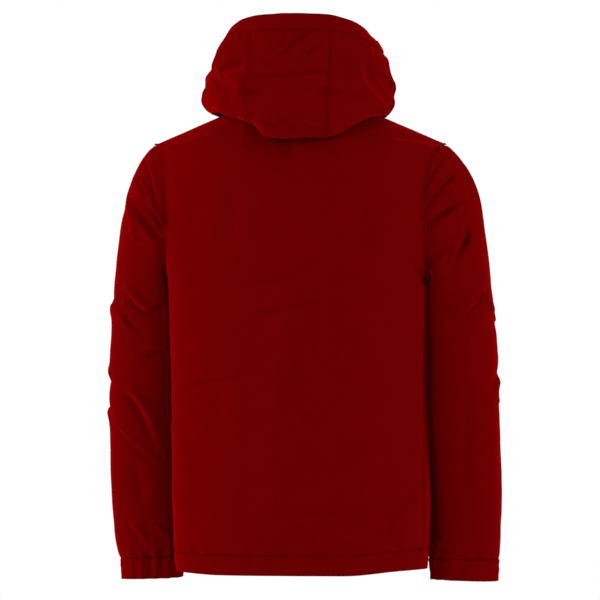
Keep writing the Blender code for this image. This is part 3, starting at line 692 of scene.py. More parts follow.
SLEEVE_CREASES = {
    1: (
        Crease("back", 0.0050, -0.0010, 0.10, 0.1, 0.4,
               ((0.212, -0.165), (0.2085, -0.240), (0.2080, -0.400), (0.2060, -0.640))),
        Crease("back", 0.0034, 0.0044, -0.90, 0.1, 0.9,
               ((0.252, -0.076), (0.232, -0.115), (0.206, -0.163))),
        Crease("back", 0.0029, 0.0024, -0.90, 0.4, 0.6,
               ((0.236, -0.057), (0.222, -0.093), (0.208, -0.132))),
        Crease("back", 0.0044, -0.0062, 0.30, 0.5, 0.9,
               ((0.242, -0.126), (0.226, -0.146), (0.207, -0.170))),
        Crease("back", 0.0048, -0.0056, -0.45, 0.5, 0.8,
               ((0.262, -0.130), (0.240, -0.155), (0.213, -0.186))),
        Crease("back", 0.0068, 0.0044, -0.40, 0.4, 0.0,
               ((0.264, -0.140), (0.254, -0.168), (0.250, -0.205))),
        Crease("back", 0.0039, -0.0034, 0.40, 0.3, 0.1,
               ((0.262, -0.182), (0.250, -0.192), (0.240, -0.190))),
        Crease("back", 0.0049, -0.0052, 0.80, 0.2, 0.4,
               ((0.277, -0.262), (0.258, -0.284), (0.238, -0.300), (0.219, -0.298),
                (0.203, -0.288))),
        Crease("back", 0.0034, 0.0034, 0.70, 0.2, 0.2,
               ((0.288, -0.294), (0.274, -0.310), (0.262, -0.326), (0.246, -0.334))),
        Crease("back", 0.0051, -0.0046, 0.40, 0.1, 0.8,
               ((0.246, -0.372), (0.222, -0.366), (0.200, -0.361))),
        Crease("back", 0.0061, 0.0054, -0.80, 0.1, 0.3,
               ((0.284, -0.407), (0.254, -0.430), (0.234, -0.463), (0.217, -0.512))),
        Crease("back", 0.0038, 0.0026, -0.80, 0.1, 0.2,
               ((0.293, -0.464), (0.273, -0.488), (0.247, -0.513), (0.221, -0.538))),
        Crease("back", 0.0048, 0.0030, -0.70, 0.1, 0.7,
               ((0.272, -0.618), (0.253, -0.645), (0.238, -0.676))),
        Crease("back", 0.0034, 0.0028, 0.60, 0.1, 0.6,
               ((0.234, -0.627), (0.214, -0.646), (0.194, -0.666))),
        Crease("back", 0.0119, -0.0028, 0.20, 0.0, 0.0,
               ((0.262, -0.520), (0.252, -0.570), (0.246, -0.610))),
        Crease("front", 0.0050, 0.0046, 0.80, 0.2, 0.8,
               ((0.250, -0.090), (0.230, -0.126), (0.208, -0.170))),
        Crease("front", 0.0056, -0.0050, 0.60, 0.3, 0.7,
               ((0.264, -0.150), (0.238, -0.180), (0.210, -0.206))),
        Crease("front", 0.0070, -0.0054, 0.70, 0.4, 0.8,
               ((0.290, -0.330), (0.256, -0.352), (0.222, -0.350), (0.198, -0.338))),
        Crease("front", 0.0062, 0.0048, 0.70, 0.2, 0.7,
               ((0.286, -0.380), (0.250, -0.402), (0.214, -0.396), (0.196, -0.384))),
        Crease("front", 0.0056, -0.0044, 0.70, 0.3, 0.6,
               ((0.296, -0.430), (0.262, -0.452), (0.226, -0.448), (0.200, -0.432))),
        Crease("front", 0.0060, 0.0038, -0.70, 0.1, 0.4,
               ((0.290, -0.520), (0.262, -0.552), (0.230, -0.572))),
        Crease("front", 0.0050, 0.0034, 0.70, 0.1, 0.6,
               ((0.214, -0.600), (0.236, -0.634), (0.246, -0.674))),
        Crease("left", 0.0060, 0.0030, 0.60, 0.2, 0.1,
               ((0.020, -0.276), (-0.014, -0.300), (-0.060, -0.306))),
        Crease("left", 0.0070, -0.0030, 0.60, 0.1, 0.3,
               ((0.016, -0.420), (-0.030, -0.400), (-0.080, -0.396))),
        Crease("left", 0.0060, 0.0028, 0.60, 0.1, 0.2,
               ((0.000, -0.470), (-0.040, -0.452), (-0.086, -0.446))),
        Crease("left", 0.0060, 0.0030, -0.60, 0.4, 0.0,
               ((-0.010, -0.060), (-0.020, -0.120), (-0.050, -0.180))),
    ),
    -1: (
        Crease("back", 0.0070, -0.0030, -0.10, 0.1, 0.4,
               ((-0.208, -0.120), (-0.2075, -0.240), (-0.2050, -0.400), (-0.2040, -0.600))),
        Crease("back", 0.0029, -0.0026, 0.80, 0.2, 0.7,
               ((-0.237, -0.050), (-0.222, -0.074), (-0.202, -0.112))),
        Crease("back", 0.0037, 0.0046, 0.95, 0.2, 0.8,
               ((-0.246, -0.077), (-0.224, -0.104), (-0.198, -0.137))),
        Crease("back", 0.0046, 0.0044, 0.80, 0.3, 0.4,
               ((-0.258, -0.122), (-0.236, -0.136), (-0.212, -0.158))),
        Crease("back", 0.0037, -0.0036, 0.60, 0.2, 0.7,
               ((-0.256, -0.136), (-0.232, -0.148), (-0.208, -0.170))),
        Crease("back", 0.0043, 0.0050, 0.75, 0.3, 0.1,
               ((-0.256, -0.156), (-0.259, -0.186), (-0.247, -0.206), (-0.235, -0.232))),
        Crease("back", 0.0031, -0.0040, 0.40, 0.2, 0.2,
               ((-0.261, -0.168), (-0.266, -0.190), (-0.256, -0.204))),
        Crease("back", 0.0036, 0.0034, -0.70, 0.2, 0.6,
               ((-0.237, -0.204), (-0.222, -0.223), (-0.203, -0.242))),
        Crease("back", 0.0036, 0.0032, 0.70, 0.2, 0.4,
               ((-0.268, -0.266), (-0.241, -0.282), (-0.210, -0.296))),
        Crease("back", 0.0041, 0.0036, 0.70, 0.2, 0.1,
               ((-0.294, -0.234), (-0.272, -0.286), (-0.240, -0.313))),
        Crease("back", 0.0039, -0.0018, 0.40, 0.1, 0.4,
               ((-0.258, -0.344), (-0.232, -0.350), (-0.206, -0.354))),
        Crease("back", 0.0127, -0.0020, 0.30, 0.0, 0.0,
               ((-0.258, -0.400), (-0.262, -0.500), (-0.258, -0.600))),
        Crease("back", 0.0037, 0.0024, 0.60, 0.0, 0.6,
               ((-0.228, -0.640), (-0.216, -0.660), (-0.207, -0.680))),
        Crease("front", 0.0050, 0.0044, -0.80, 0.2, 0.8,
               ((-0.248, -0.084), (-0.228, -0.120), (-0.206, -0.160))),
        Crease("front", 0.0056, -0.0050, -0.60, 0.3, 0.7,
               ((-0.262, -0.140), (-0.240, -0.176), (-0.210, -0.212))),
        Crease("front", 0.0066, -0.0052, -0.70, 0.4, 0.8,
               ((-0.292, -0.320), (-0.258, -0.346), (-0.222, -0.348), (-0.198, -0.334))),
        Crease("front", 0.0060, 0.0044, -0.70, 0.2, 0.7,
               ((-0.290, -0.372), (-0.252, -0.396), (-0.214, -0.394), (-0.196, -0.380))),
        Crease("front", 0.0060, -0.0040, -0.70, 0.3, 0.6,
               ((-0.296, -0.446), (-0.262, -0.462), (-0.226, -0.452), (-0.200, -0.438))),
        Crease("front", 0.0056, 0.0034, 0.70, 0.1, 0.4,
               ((-0.292, -0.540), (-0.262, -0.566), (-0.232, -0.580))),
        Crease("right", 0.0060, 0.0030, -0.60, 0.2, 0.1,
               ((0.026, -0.250), (-0.010, -0.290), (-0.060, -0.300))),
        Crease("right", 0.0070, -0.0028, -0.60, 0.1, 0.3,
               ((0.010, -0.430), (-0.030, -0.404), (-0.080, -0.392))),
        Crease("right", 0.0060, 0.0030, 0.60, 0.4, 0.0,
               ((-0.008, -0.060), (-0.022, -0.116), (-0.052, -0.176))),
    ),
}
HOOD_CREASES = (
    Crease("back", 0.0040, -0.0044, 0.30, 0.1, 0.2,
           ((0.086, 0.064), (0.043, 0.0605), (-0.001, 0.063), (-0.043, 0.066),
            (-0.098, 0.068))),
    Crease("back", 0.0038, -0.0040, 0.30, 0.3, 0.0,
           ((0.082, 0.032), (0.058, 0.0345), (0.026, 0.036))),
    Crease("back", 0.0038, -0.0040, 0.30, 0.0, 0.4,
           ((-0.040, 0.036), (-0.062, 0.0395), (-0.078, 0.033))),
    Crease("back", 0.0100, 0.0075, -0.50, 0.1, 0.2,
           ((0.080, 0.146), (0.100, 0.110), (0.106, 0.082), (0.098, 0.064), (0.074, 0.050),
            (0.076, 0.034), (0.070, 0.006))),
    Crease("back", 0.0096, 0.0075, 0.50, 0.1, 0.2,
           ((-0.118, 0.128), (-0.128, 0.098), (-0.108, 0.078), (-0.106, 0.056),
            (-0.124, 0.030), (-0.138, 0.014))),
    Crease("back", 0.0040, -0.0024, 0.50, 0.4, 0.0,
           ((-0.078, 0.034), (-0.105, 0.031), (-0.136, 0.031))),
    Crease("back", 0.0032, 0.0030, -0.80, 0.4, 0.1,
           ((-0.041, 0.134), (-0.028, 0.119), (-0.013, 0.108), (0.015, 0.080))),
    Crease("back", 0.0036, -0.0026, 0.50, 0.5, 0.0,
           ((0.002, 0.128), (0.012, 0.106), (0.027, 0.096), (0.051, 0.086))),
    Crease("back", 0.0028, -0.0018, 0.40, 0.1, 0.1,
           ((0.052, 0.074), (0.034, 0.082), (0.020, 0.072))),
    Crease("back", 0.0026, 0.0014, 0.50, 0.1, 0.1,
           ((-0.036, 0.078), (-0.026, 0.092), (-0.030, 0.110))),
    Crease("back", 0.0030, -0.0020, 0.40, 0.5, 0.0,
           ((-0.060, 0.076), (-0.078, 0.086), (-0.096, 0.090))),
    Crease("back", 0.0042, 0.0030, 0.60, 0.3, 0.0,
           ((-0.024, 0.080), (-0.040, 0.092), (-0.052, 0.104))),
    Crease("back", 0.0048, 0.0044, 0.60, 0.2, 0.7,
           ((0.104, 0.108), (0.114, 0.084), (0.106, 0.066))),
    Crease("back", 0.0056, -0.0046, 0.40, 0.5, 0.0,
           ((0.098, 0.070), (0.086, 0.078), (0.062, 0.082))),
    Crease("back", 0.0048, 0.0040, -0.60, 0.1, 0.5,
           ((-0.130, 0.118), (-0.138, 0.096), (-0.120, 0.076))),
    Crease("back", 0.0034, 0.0030, 0.80, 0.5, 0.1,
           ((0.050, -0.004), (0.030, -0.018), (-0.002, -0.030))),
    Crease("back", 0.0032, 0.0028, 0.80, 0.3, 0.2,
           ((0.022, -0.008), (-0.001, -0.021), (-0.026, -0.029))),
    Crease("back", 0.0036, -0.0026, 0.60, 0.1, 0.2,
           ((-0.020, -0.006), (-0.040, -0.020), (-0.062, -0.024))),
    Crease("back", 0.0150, -0.0030, 0.20, 0.0, 0.0,
           ((0.014, 0.020), (-0.012, 0.004), (-0.040, -0.006))),
    Crease("back", 0.0070, 0.0030, -0.50, 0.3, 0.0,
           ((0.122, 0.020), (0.100, 0.006), (0.076, -0.002))),
    Crease("left", 0.0060, 0.0040, 0.60, 0.2, 0.1,
           ((0.060, 0.080), (0.020, 0.060), (-0.030, 0.040))),
    Crease("left", 0.0070, -0.0044, 0.60, 0.1, 0.2,
           ((0.080, 0.030), (0.040, 0.022), (-0.010, 0.004))),
    Crease("left", 0.0050, 0.0034, -0.60, 0.1, 0.4,
           ((0.020, 0.100), (-0.010, 0.070), (-0.060, 0.030))),
    Crease("right", 0.0060, 0.0040, -0.60, 0.2, 0.1,
           ((0.064, 0.074), (0.022, 0.056), (-0.034, 0.036))),
    Crease("right", 0.0070, -0.0044, -0.60, 0.1, 0.2,
           ((0.084, 0.026), (0.040, 0.020), (-0.012, 0.006))),
    Crease("right", 0.0050, 0.0032, 0.60, 0.1, 0.4,
           ((0.018, 0.104), (-0.014, 0.072), (-0.056, 0.034))),
    Crease("front", 0.0050, 0.0030, 0.60, 0.2, 0.4,
           ((0.110, 0.040), (0.070, 0.010), (0.020, -0.014))),
    Crease("front", 0.0050, 0.0030, -0.60, 0.2, 0.4,
           ((-0.108, 0.044), (-0.072, 0.008), (-0.022, -0.020))),
)
# A gather runs up and down from the cuff seam. turn is 0 at the outer side of the
# sleeve, 0.25 at the back and 0.5 at the inner side.
Gather = namedtuple("Gather", "turn width height reach")
GATHERS = {
    1: (
        Gather(0.170, 0.0043, 0.0022, 0.018), Gather(0.225, 0.0032, 0.0037, 0.030),
        Gather(0.262, 0.0029, -0.0033, 0.022), Gather(0.292, 0.0030, 0.0040, 0.026),
        Gather(0.325, 0.0026, -0.0037, 0.018), Gather(0.352, 0.0032, 0.0044, 0.036),
        Gather(0.390, 0.0027, -0.0035, 0.020), Gather(0.422, 0.0030, 0.0037, 0.024),
        Gather(0.470, 0.0036, 0.0024, 0.016), Gather(0.560, 0.0036, 0.0026, 0.018),
        Gather(0.610, 0.0032, -0.0033, 0.022), Gather(0.650, 0.0032, 0.0037, 0.028),
        Gather(0.700, 0.0029, -0.0033, 0.020), Gather(0.742, 0.0033, 0.0037, 0.032),
        Gather(0.800, 0.0036, 0.0029, 0.022), Gather(0.880, 0.0043, 0.0018, 0.016),
    ),
    -1: (
        Gather(0.205, 0.0050, 0.0013, 0.014), Gather(0.300, 0.0036, 0.0024, 0.018),
        Gather(0.350, 0.0029, -0.0031, 0.018), Gather(0.378, 0.0029, 0.0044, 0.026),
        Gather(0.404, 0.0024, -0.0044, 0.020), Gather(0.430, 0.0029, 0.0046, 0.030),
        Gather(0.462, 0.0026, -0.0033, 0.016), Gather(0.500, 0.0032, 0.0031, 0.020),
        Gather(0.570, 0.0033, 0.0029, 0.022), Gather(0.612, 0.0029, -0.0033, 0.018),
        Gather(0.648, 0.0032, 0.0040, 0.030), Gather(0.690, 0.0029, -0.0033, 0.020),
        Gather(0.730, 0.0033, 0.0035, 0.028), Gather(0.790, 0.0036, 0.0026, 0.020),
    ),
}


def gather_height(cloth, side, distance):
    """The gathers of an elastic cuff, fading out with distance from its seam."""
    height = np.zeros(cloth.points.shape[:-1])
    around = cloth.start[:, -1:]
    for gather in GATHERS[side]:
        apart = np.abs((cloth.columns - gather.turn + 0.5) % 1.0 - 0.5)[None, :] * around
        height += (gather.height * np.exp(-(apart / gather.width) ** 2)
                   * np.exp(-(distance / gather.reach) ** 2))
    return height


# ------------------------------------------------------------------ cut pieces
def settle_hem(points):
    """The hem rides up a little, mostly at the sides, and the right side hangs full."""
    x, y, z = points[..., 0], points[..., 1], points[..., 2]
    low = ease((-0.560 - z) / 0.117)
    middle, left, right = HEM_LIFT
    moved = points.copy()
    moved[..., 2] += low * (middle + left * ease((x - 0.110) / 0.085)
                            + right * ease((-x - 0.080) / 0.115))
    moved[..., 0] -= (SIDE_FULL * ease((-x - 0.140) / 0.045) * ease((-0.470 - z) / 0.150)
                      * ease((y + 0.030) / 0.030))
    return moved


def fan_places(roundness):
    """Places from 0 to 1 across half a rounded panel, close together at its side."""
    return np.sin(np.linspace(0.0, math.pi / 2, SAMPLES)) ** (2 / roundness)


def body_cloth(face):
    half = fan_places(BACK_ROUND)
    step = BODY_STEP if face > 0 else 1.35 * BODY_STEP
    if face > 0:
        across = np.r_[-half[:0:-1], half]
        columns = places_along(body_point(1, across, HEM_ROW - 3), across, step)
    else:
        half = half[half > SLIT_SHARE]
        half = np.r_[SLIT_SHARE, half]
        outer = places_along(body_point(-1, half, HEM_ROW - 3), half, step)
        columns = np.r_[-outer[::-1], 0.0, outer]
    rows = np.linspace(0.0, HEM_ROW, SAMPLES)
    rows = places_along(body_point(face, 0.55, rows), rows, step)
    rows[np.argmin(np.abs(rows - ARMHOLE_ROWS))] = ARMHOLE_ROWS
    cloth = Cloth(lambda c, r: settle_hem(body_point(face, c, r)), columns, rows,
                  turned=face < 0)
    sides = np.minimum(cloth.start, cloth.end)
    creases = BACK_CREASES if face > 0 else FRONT_CREASES
    height = soft_folds(cloth, creases, sides, cloth.top) * ease(0.35 + cloth.bottom / 0.02)
    height += seam_height(cloth.top) + seam_height(cloth.bottom)
    height += ARMHOLE_LIP * (np.exp(-((sides - 0.0022) / 0.0020) ** 2))
    height += pucker(cloth.points, sides) + 1.6 * pucker(cloth.points, cloth.bottom)
    if face < 0:
        slit = np.abs(cloth.points[..., 0]) - SLIT_HALF
        slit = np.where(cloth.points[..., 2] > UNDERARM_Z - FINE, np.maximum(slit, 0.0), 1.0)
        height *= ease(0.2 + slit / 0.012)
        height += 0.6 * pucker(cloth.points, slit)
    cloth.push(height)
    return cloth


def hem_cloth():
    half = fan_places(BACK_ROUND)
    back = np.r_[-half[:0:-1], half]
    around = np.r_[back, 2 - back[-2::-1]]
    columns = places_along(hem_point(around, 0.0), around, BAND_STEP, fine_start=False,
                           fine_end=False)
    rows = places_along(hem_point(0.3, np.linspace(0, 1, SAMPLES)),
                        np.linspace(0, 1, SAMPLES), BAND_STEP)
    cloth = Cloth(lambda c, r: settle_hem(hem_point(c, r)), columns, rows, closed=True)
    height = seam_height(cloth.top)
    height += 1.6 * pucker(cloth.points, cloth.top)
    height += WAVE * unevenness(cloth.points, 0.060, 3.0) * ease(cloth.top / 0.02)
    height += RIPPLE * unevenness(cloth.points, 0.018, 7.0)
    join = np.exp(-((cloth.points[..., 0] - CASING_JOIN_X) / 0.0014) ** 2)
    height -= 0.0012 * join * (cloth.points[..., 1] > 0)
    cloth.push(height)
    return cloth


def sleeve_cloth(side):
    behind, before = np.linspace(0.0, 0.5, SAMPLES), np.linspace(0.5, 1.0, SAMPLES)
    columns = np.r_[places_along(sleeve_point(side, behind, 2.5), behind, SLEEVE_STEP,
                                 fine_start=False, fine_end=False),
                    places_along(sleeve_point(side, before, 2.5), before,
                                 FRONT_SHARE * SLEEVE_STEP, fine_start=False,
                                 fine_end=False)[1:]]
    places = np.linspace(0.0, CUFF_SEAM, SAMPLES)
    rows = places_along(sleeve_point(side, 0.2, places), places, SLEEVE_STEP)
    cloth = Cloth(lambda c, r: sleeve_point(side, c % 1.0, r), columns, rows,
                  closed=True, turned=side > 0)
    height = soft_folds(cloth, SLEEVE_CREASES[side], cloth.top)
    inner = ease((np.cos(math.tau * (cloth.columns - 0.5)) - 0.45) / 0.4)[None, :]
    height = np.where(height > 0, height * (1 - inner), height)
    height += seam_height(cloth.bottom) - SLEEVE_SINK * np.exp(-cloth.top / 0.005)
    height += 1.8 * pucker(cloth.points, cloth.top)
    height += gather_height(cloth, side, cloth.bottom) + 2.0 * pucker(cloth.points, cloth.bottom)
    cloth.push(height)
    return cloth


def cuff_cloth(side):
    turns = np.linspace(0.0, 1.0, SAMPLES)
    columns = places_along(sleeve_point(side, turns, CUFF_SEAM), turns, 0.0020,
                           fine_start=False, fine_end=False)
    downs = np.linspace(0.0, 1.0, SAMPLES)
    rows = places_along(cuff_point(side, 0.2, downs), downs, 0.0022)
    cloth = Cloth(lambda c, r: cuff_point(side, c % 1.0, r), columns, rows,
                  closed=True, turned=side > 0)
    height = seam_height(cloth.top) + gather_height(cloth, side, 0.45 * cloth.top)
    height += seam_height(np.abs(cloth.top - CUFF_STITCH)) * 0.6
    height += CUFF_RIPPLE * unevenness(cloth.points, 0.012, 4.0)
    height += 2.0 * pucker(cloth.points, cloth.top)
    cloth.push(height)
    return cloth


def hood_cloth(first, last, top_row, bottom_row, step):
    """A panel of the hood between two places round it and two of its rows."""
    angles = np.linspace(first, last, SAMPLES)
    columns = places_along(hood_point(angles, 8.5), angles, step)
    places = np.linspace(top_row, bottom_row, SAMPLES)
    rows = places_along(hood_point((first + last) / 2, places), places, step)
    cloth = Cloth(hood_point, columns, rows, turned=True)
    seen = ease((cloth.rows - UNDERSIDE_ROW) / 1.5)[:, None]
    cloth.points = settle_hood(cloth.points, cloth.rows)
    cloth.normals = cloth.outward()
    height = crease_height(cloth.points, cloth.normals, HOOD_CREASES)
    height *= bpy.context.scene.anorak_cloth.crease_strength
    height += 1.5 * WAVE * unevenness(cloth.points, 0.060, 1.0)
    height += 2.0 * RIPPLE * unevenness(cloth.points, 0.022, 9.0)
    band = np.abs(cloth.rows - BAND_SEAM_ROW)[:, None] * HOOD_ROW_DEPTH
    front = ease((SLIT_ANGLE - np.abs(cloth.columns)) / 0.12)[None, :]
    height *= seen * (0.25 + 0.75 * ease(band / 0.012)) * front
    height += seam_height(cloth.top if top_row else 1.0 + cloth.top)
    if bottom_row == BAND_SEAM_ROW:
        height += seam_height(cloth.bottom)
        height += seam_height(cloth.start, 0.0004) + seam_height(cloth.end, 0.0004)
        edge = np.minimum(cloth.start, cloth.end)
        height += 1.3 * pucker(cloth.points, np.minimum(edge, cloth.bottom)) * seen
    else:
        height += 1.3 * pucker(cloth.points, cloth.top)
    cloth.push(height)
    return cloth


def settle_hood(points, rows):
    """The filled hood leans a little: its low edge steps up on the wearer's left."""
    x, y, z = points[..., 0], points[..., 1], points[..., 2]
    seen = ease((rows - 1.5) / 2.0)[:, None]
    behind = ease((y - 0.02) / 0.08) * seen
    low = ease((0.022 - z) / 0.034)
    lift = 0.0150 * ease((x - 0.034) / 0.018) * low * behind
    sag = -0.0085 * np.exp(-((x + 0.064) / 0.026) ** 2) * low * behind
    top = ease((z - 0.100) / 0.050)
    wide = 0.0050 * ease((-x - 0.070) / 0.040) * top * seen
    drop = -0.0030 * top
    moved = points.copy()
    moved[..., 2] += lift + sag + drop + 0.3 * wide
    moved[..., 0] -= wide
    return moved


# ------------------------------------------------------------------ small repeated shapes
def repeat_shape(name, shape, frames, material):
    """One object of many copies of a small shape, each placed by its own frame."""
    corners = np.array([vertex.co for vertex in shape.verts])
    faces = [[vertex.index for vertex in face.verts] for face in shape.faces]
    shape.free()
    turns = np.array([[list(row) for row in place.to_3x3()] for place in frames])
    middles = np.array([place.translation for place in frames])
    points = np.einsum("nij,vj->nvi", turns, corners) + middles[:, None, :]
    links = []
    for k in range(len(frames)):
        base = k * len(corners)
        links += [[base + index for index in face] for face in faces]
    mesh = bpy.data.meshes.new(name)
    mesh.from_pydata(points.reshape(-1, 3).tolist(), [], links)
    mesh.update()
    mesh.materials.append(material)
    mesh.shade_smooth()
    piece = bpy.data.objects.new(name, mesh)
    bpy.context.scene.collection.objects.link(piece)
    return piece


def frame_matrix(middle, along, out):
    """A frame with X along a line and Z outwards."""
    along = Vector(along).normalized()
    across = Vector(out).cross(along).normalized()
    up = along.cross(across)
    turn = Matrix((along, across, up)).transposed()
    return Matrix.Translation(Vector(middle)) @ turn.to_4x4()


def row_frames(points, normals, pitch, lift, share=0.5):
    """Frames at even steps along a line on the cloth, lifted off it."""
    walked = np.r_[0.0, np.cumsum(np.linalg.norm(np.diff(points, axis=0), axis=1))]
    count = int(walked[-1] / pitch)
    frames = []
    for k in range(count):
        at = (k + share) * pitch
        middle = [np.interp(at, walked, points[:, n]) for n in range(3)]
        ahead = [np.interp(at + pitch / 3, walked, points[:, n]) for n in range(3)]
        behind = [np.interp(at - pitch / 3, walked, points[:, n]) for n in range(3)]
        out = Vector([np.interp(at, walked, normals[:, n]) for n in range(3)]).normalized()
        frames.append(frame_matrix(Vector(middle) + out * lift, Vector(ahead) - Vector(behind),
                                   out))
    return frames


def stitch_shape():
    settings = bpy.context.scene.anorak_sewing
    stitch = bmesh.new()
    bmesh.ops.create_uvsphere(stitch, u_segments=6, v_segments=4, radius=0.5)
    size = (settings.stitch_length, settings.thread, settings.thread * 0.8)
    bmesh.ops.scale(stitch, verts=stitch.verts[:], vec=size)
    return stitch


def add_stitches(name, lines):
    """Topstitching along lines on the cloth, as one joined piece."""
    settings = bpy.context.scene.anorak_sewing
    cloth = bpy.context.scene.anorak_cloth
    frames = []
    for points, normals in lines:
        lift = cloth.wall / 2
        frames += row_frames(points, normals, settings.stitch_pitch, lift)
    piece = repeat_shape(name, stitch_shape(), frames, thread_material())
    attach(piece, GARMENT)


# ------------------------------------------------------------------ materials
def add_node(tree, kind, settings=None, inputs=None):
    item = tree.nodes.new("ShaderNode" + kind)
    for name, value in (settings or {}).items():
        setattr(item, name, value)
    for name, value in (inputs or {}).items():
        socket = item.inputs[name]
        if isinstance(value, bpy.types.NodeSocket):
            tree.links.new(value, socket)
        else:
            socket.default_value = value
    return item


def start_material(name):
    found = bpy.data.materials.get(name)
    if found:
        return found, None, None
    material = bpy.data.materials.new(name)
    material.use_nodes = True
    tree = material.node_tree
    return material, tree, tree.nodes["Principled BSDF"]


def math_node(tree, operation, first, second):
    item = tree.nodes.new("ShaderNodeMath")
    item.operation = operation
    for socket, value in zip(item.inputs, (first, second)):
        if isinstance(value, bpy.types.NodeSocket):
            tree.links.new(value, socket)
        else:
            socket.default_value = value
    return item.outputs[0]


def remap(tree, value, low, high):
    """Stretch a noise between two values."""
    item = add_node(tree, "MapRange", inputs={"Value": value, "From Min": 0.3,
                                              "From Max": 0.7, "To Min": low,
                                              "To Max": high})
    return item.outputs["Result"]


def noise_node(tree, vector, scale, detail=2.0):
    item = add_node(tree, "TexNoise", inputs={"Vector": vector, "Scale": scale,
                                              "Detail": detail})
    return item.outputs["Fac"]


def woven_material(name, colour, pitch, sheen):
    """Plain-woven cloth: yarns both ways, uneven yarns, soft mottling, painted shade along the
    seams and a red sheen.
    """
    material, tree, shader = start_material(name)
    if tree is None:
        return material
    cut = add_node(tree, "UVMap", {"uv_map": "cut"}).outputs["UV"]
    place = add_node(tree, "TexCoord").outputs["Object"]
    yarns = add_node(tree, "VectorMath", {"operation": "SCALE"},
                     {0: cut, "Scale": math.tau / pitch}).outputs["Vector"]
    split = add_node(tree, "SeparateXYZ", inputs={0: yarns})
    weft = math_node(tree, "SINE", split.outputs["X"], 0.0)
    warp = math_node(tree, "SINE", split.outputs["Y"], 0.0)
    weave = math_node(tree, "MULTIPLY", weft, warp)
    stretch = add_node(tree, "Mapping", inputs={"Vector": cut, "Scale": (1900, 190, 1)})
    slub = noise_node(tree, stretch.outputs["Vector"], 1.0, 1.0)
    mottle = noise_node(tree, place, 42.0, 4.0)
    cloud = noise_node(tree, place, 9.0, 2.0)
    grain = noise_node(tree, place, 620.0, 2.0)
    seam = add_node(tree, "Attribute", {"attribute_name": "seam"}).outputs["Fac"]
    light = math_node(tree, "MULTIPLY", remap(tree, slub, 0.95, 1.05),
                      remap(tree, mottle, 0.97, 1.03))
    light = math_node(tree, "MULTIPLY", light, remap(tree, cloud, 0.985, 1.015))
    light = math_node(tree, "MULTIPLY", light, remap(tree, grain, 0.93, 1.07))
    light = math_node(tree, "MULTIPLY", light, math_node(tree, "MULTIPLY_ADD", weave, 0.05))
    tree.nodes[-1].inputs[2].default_value = 1.0
    # Painted shade: the cloth is darkened near its seams in place of the shade in the seam
    # lines, with a little for the seam allowance showing through.
    seam_shade_and_allowance = math_node(tree, "MULTIPLY_ADD", seam, -0.22)
    tree.nodes[-1].inputs[2].default_value = 1.0
    light = math_node(tree, "MULTIPLY", light, seam_shade_and_allowance)
    tint = add_node(tree, "VectorMath", {"operation": "SCALE"},
                    {0: colour[:3], "Scale": light}).outputs["Vector"]
    tree.links.new(tint, shader.inputs["Base Color"])
    tree.links.new(remap(tree, mottle, 0.66, 0.80), shader.inputs["Roughness"])
    fine = add_node(tree, "Bump", inputs={"Strength": 0.35, "Distance": 0.00008,
                                          "Height": weave}).outputs["Normal"]
    crumple = noise_node(tree, place, 75.0, 5.0)
    soft = add_node(tree, "Bump", inputs={"Strength": 0.42, "Distance": 0.0011,
                                          "Height": crumple, "Normal": fine})
    tree.links.new(soft.outputs["Normal"], shader.inputs["Normal"])
    shader.inputs["Specular IOR Level"].default_value = 0.0
    shader.inputs["Sheen Weight"].default_value = sheen
    shader.inputs["Sheen Roughness"].default_value = 0.38
    shader.inputs["Sheen Tint"].default_value = (1.0, 0.004, 0.010, 1.0)
    return material


def shell_material():
    settings = bpy.context.scene.anorak_cloth
    return woven_material("shell cloth", settings.colour, settings.yarn_pitch, settings.sheen)


def tape_material():
    settings = bpy.context.scene.anorak_sewing
    return woven_material("zip tape", settings.tape_colour, 0.0011, 0.10)


def plain_material(name, colour, roughness, metallic, shine, grain):
    """Thread, moulded teeth or plated metal, with a fine uneven surface."""
    material, tree, shader = start_material(name)
    if tree is None:
        return material
    place = add_node(tree, "TexCoord").outputs["Object"]
    speckle = noise_node(tree, place, grain, 3.0)
    patch = noise_node(tree, place, grain / 9, 2.0)
    light = math_node(tree, "MULTIPLY", remap(tree, speckle, 0.88, 1.12),
                      remap(tree, patch, 0.93, 1.07))
    tint = add_node(tree, "VectorMath", {"operation": "SCALE"},
                    {0: colour[:3], "Scale": light}).outputs["Vector"]
    tree.links.new(tint, shader.inputs["Base Color"])
    tree.links.new(remap(tree, speckle, roughness * 0.8, roughness * 1.2),
                   shader.inputs["Roughness"])
    bump = add_node(tree, "Bump", inputs={"Strength": 0.25, "Distance": 0.00005,
                                          "Height": speckle})
    tree.links.new(bump.outputs["Normal"], shader.inputs["Normal"])
    shader.inputs["Metallic"].default_value = metallic
    shader.inputs["Specular IOR Level"].default_value = shine
    return material


def floor_material():
    material, tree, shader = start_material("pale floor")
    shader.inputs["Base Color"].default_value = (0.90, 0.90, 0.90, 1.0)
    shader.inputs["Roughness"].default_value = 0.9
    shader.inputs["Specular IOR Level"].default_value = 0.1
    return material


def thread_material():
    settings = bpy.context.scene.anorak_sewing
    return plain_material("thread", settings.thread_colour, 0.80, 0.0, 0.0, 2600.0)


def teeth_material():
    settings = bpy.context.scene.anorak_sewing
    return plain_material("moulded teeth", settings.tape_colour, 0.42, 0.0, 0.12, 1500.0)


def metal_material():
    settings = bpy.context.scene.anorak_sewing
    return plain_material("plated metal", settings.metal_colour, 0.32, 1.0, 0.5, 1800.0)


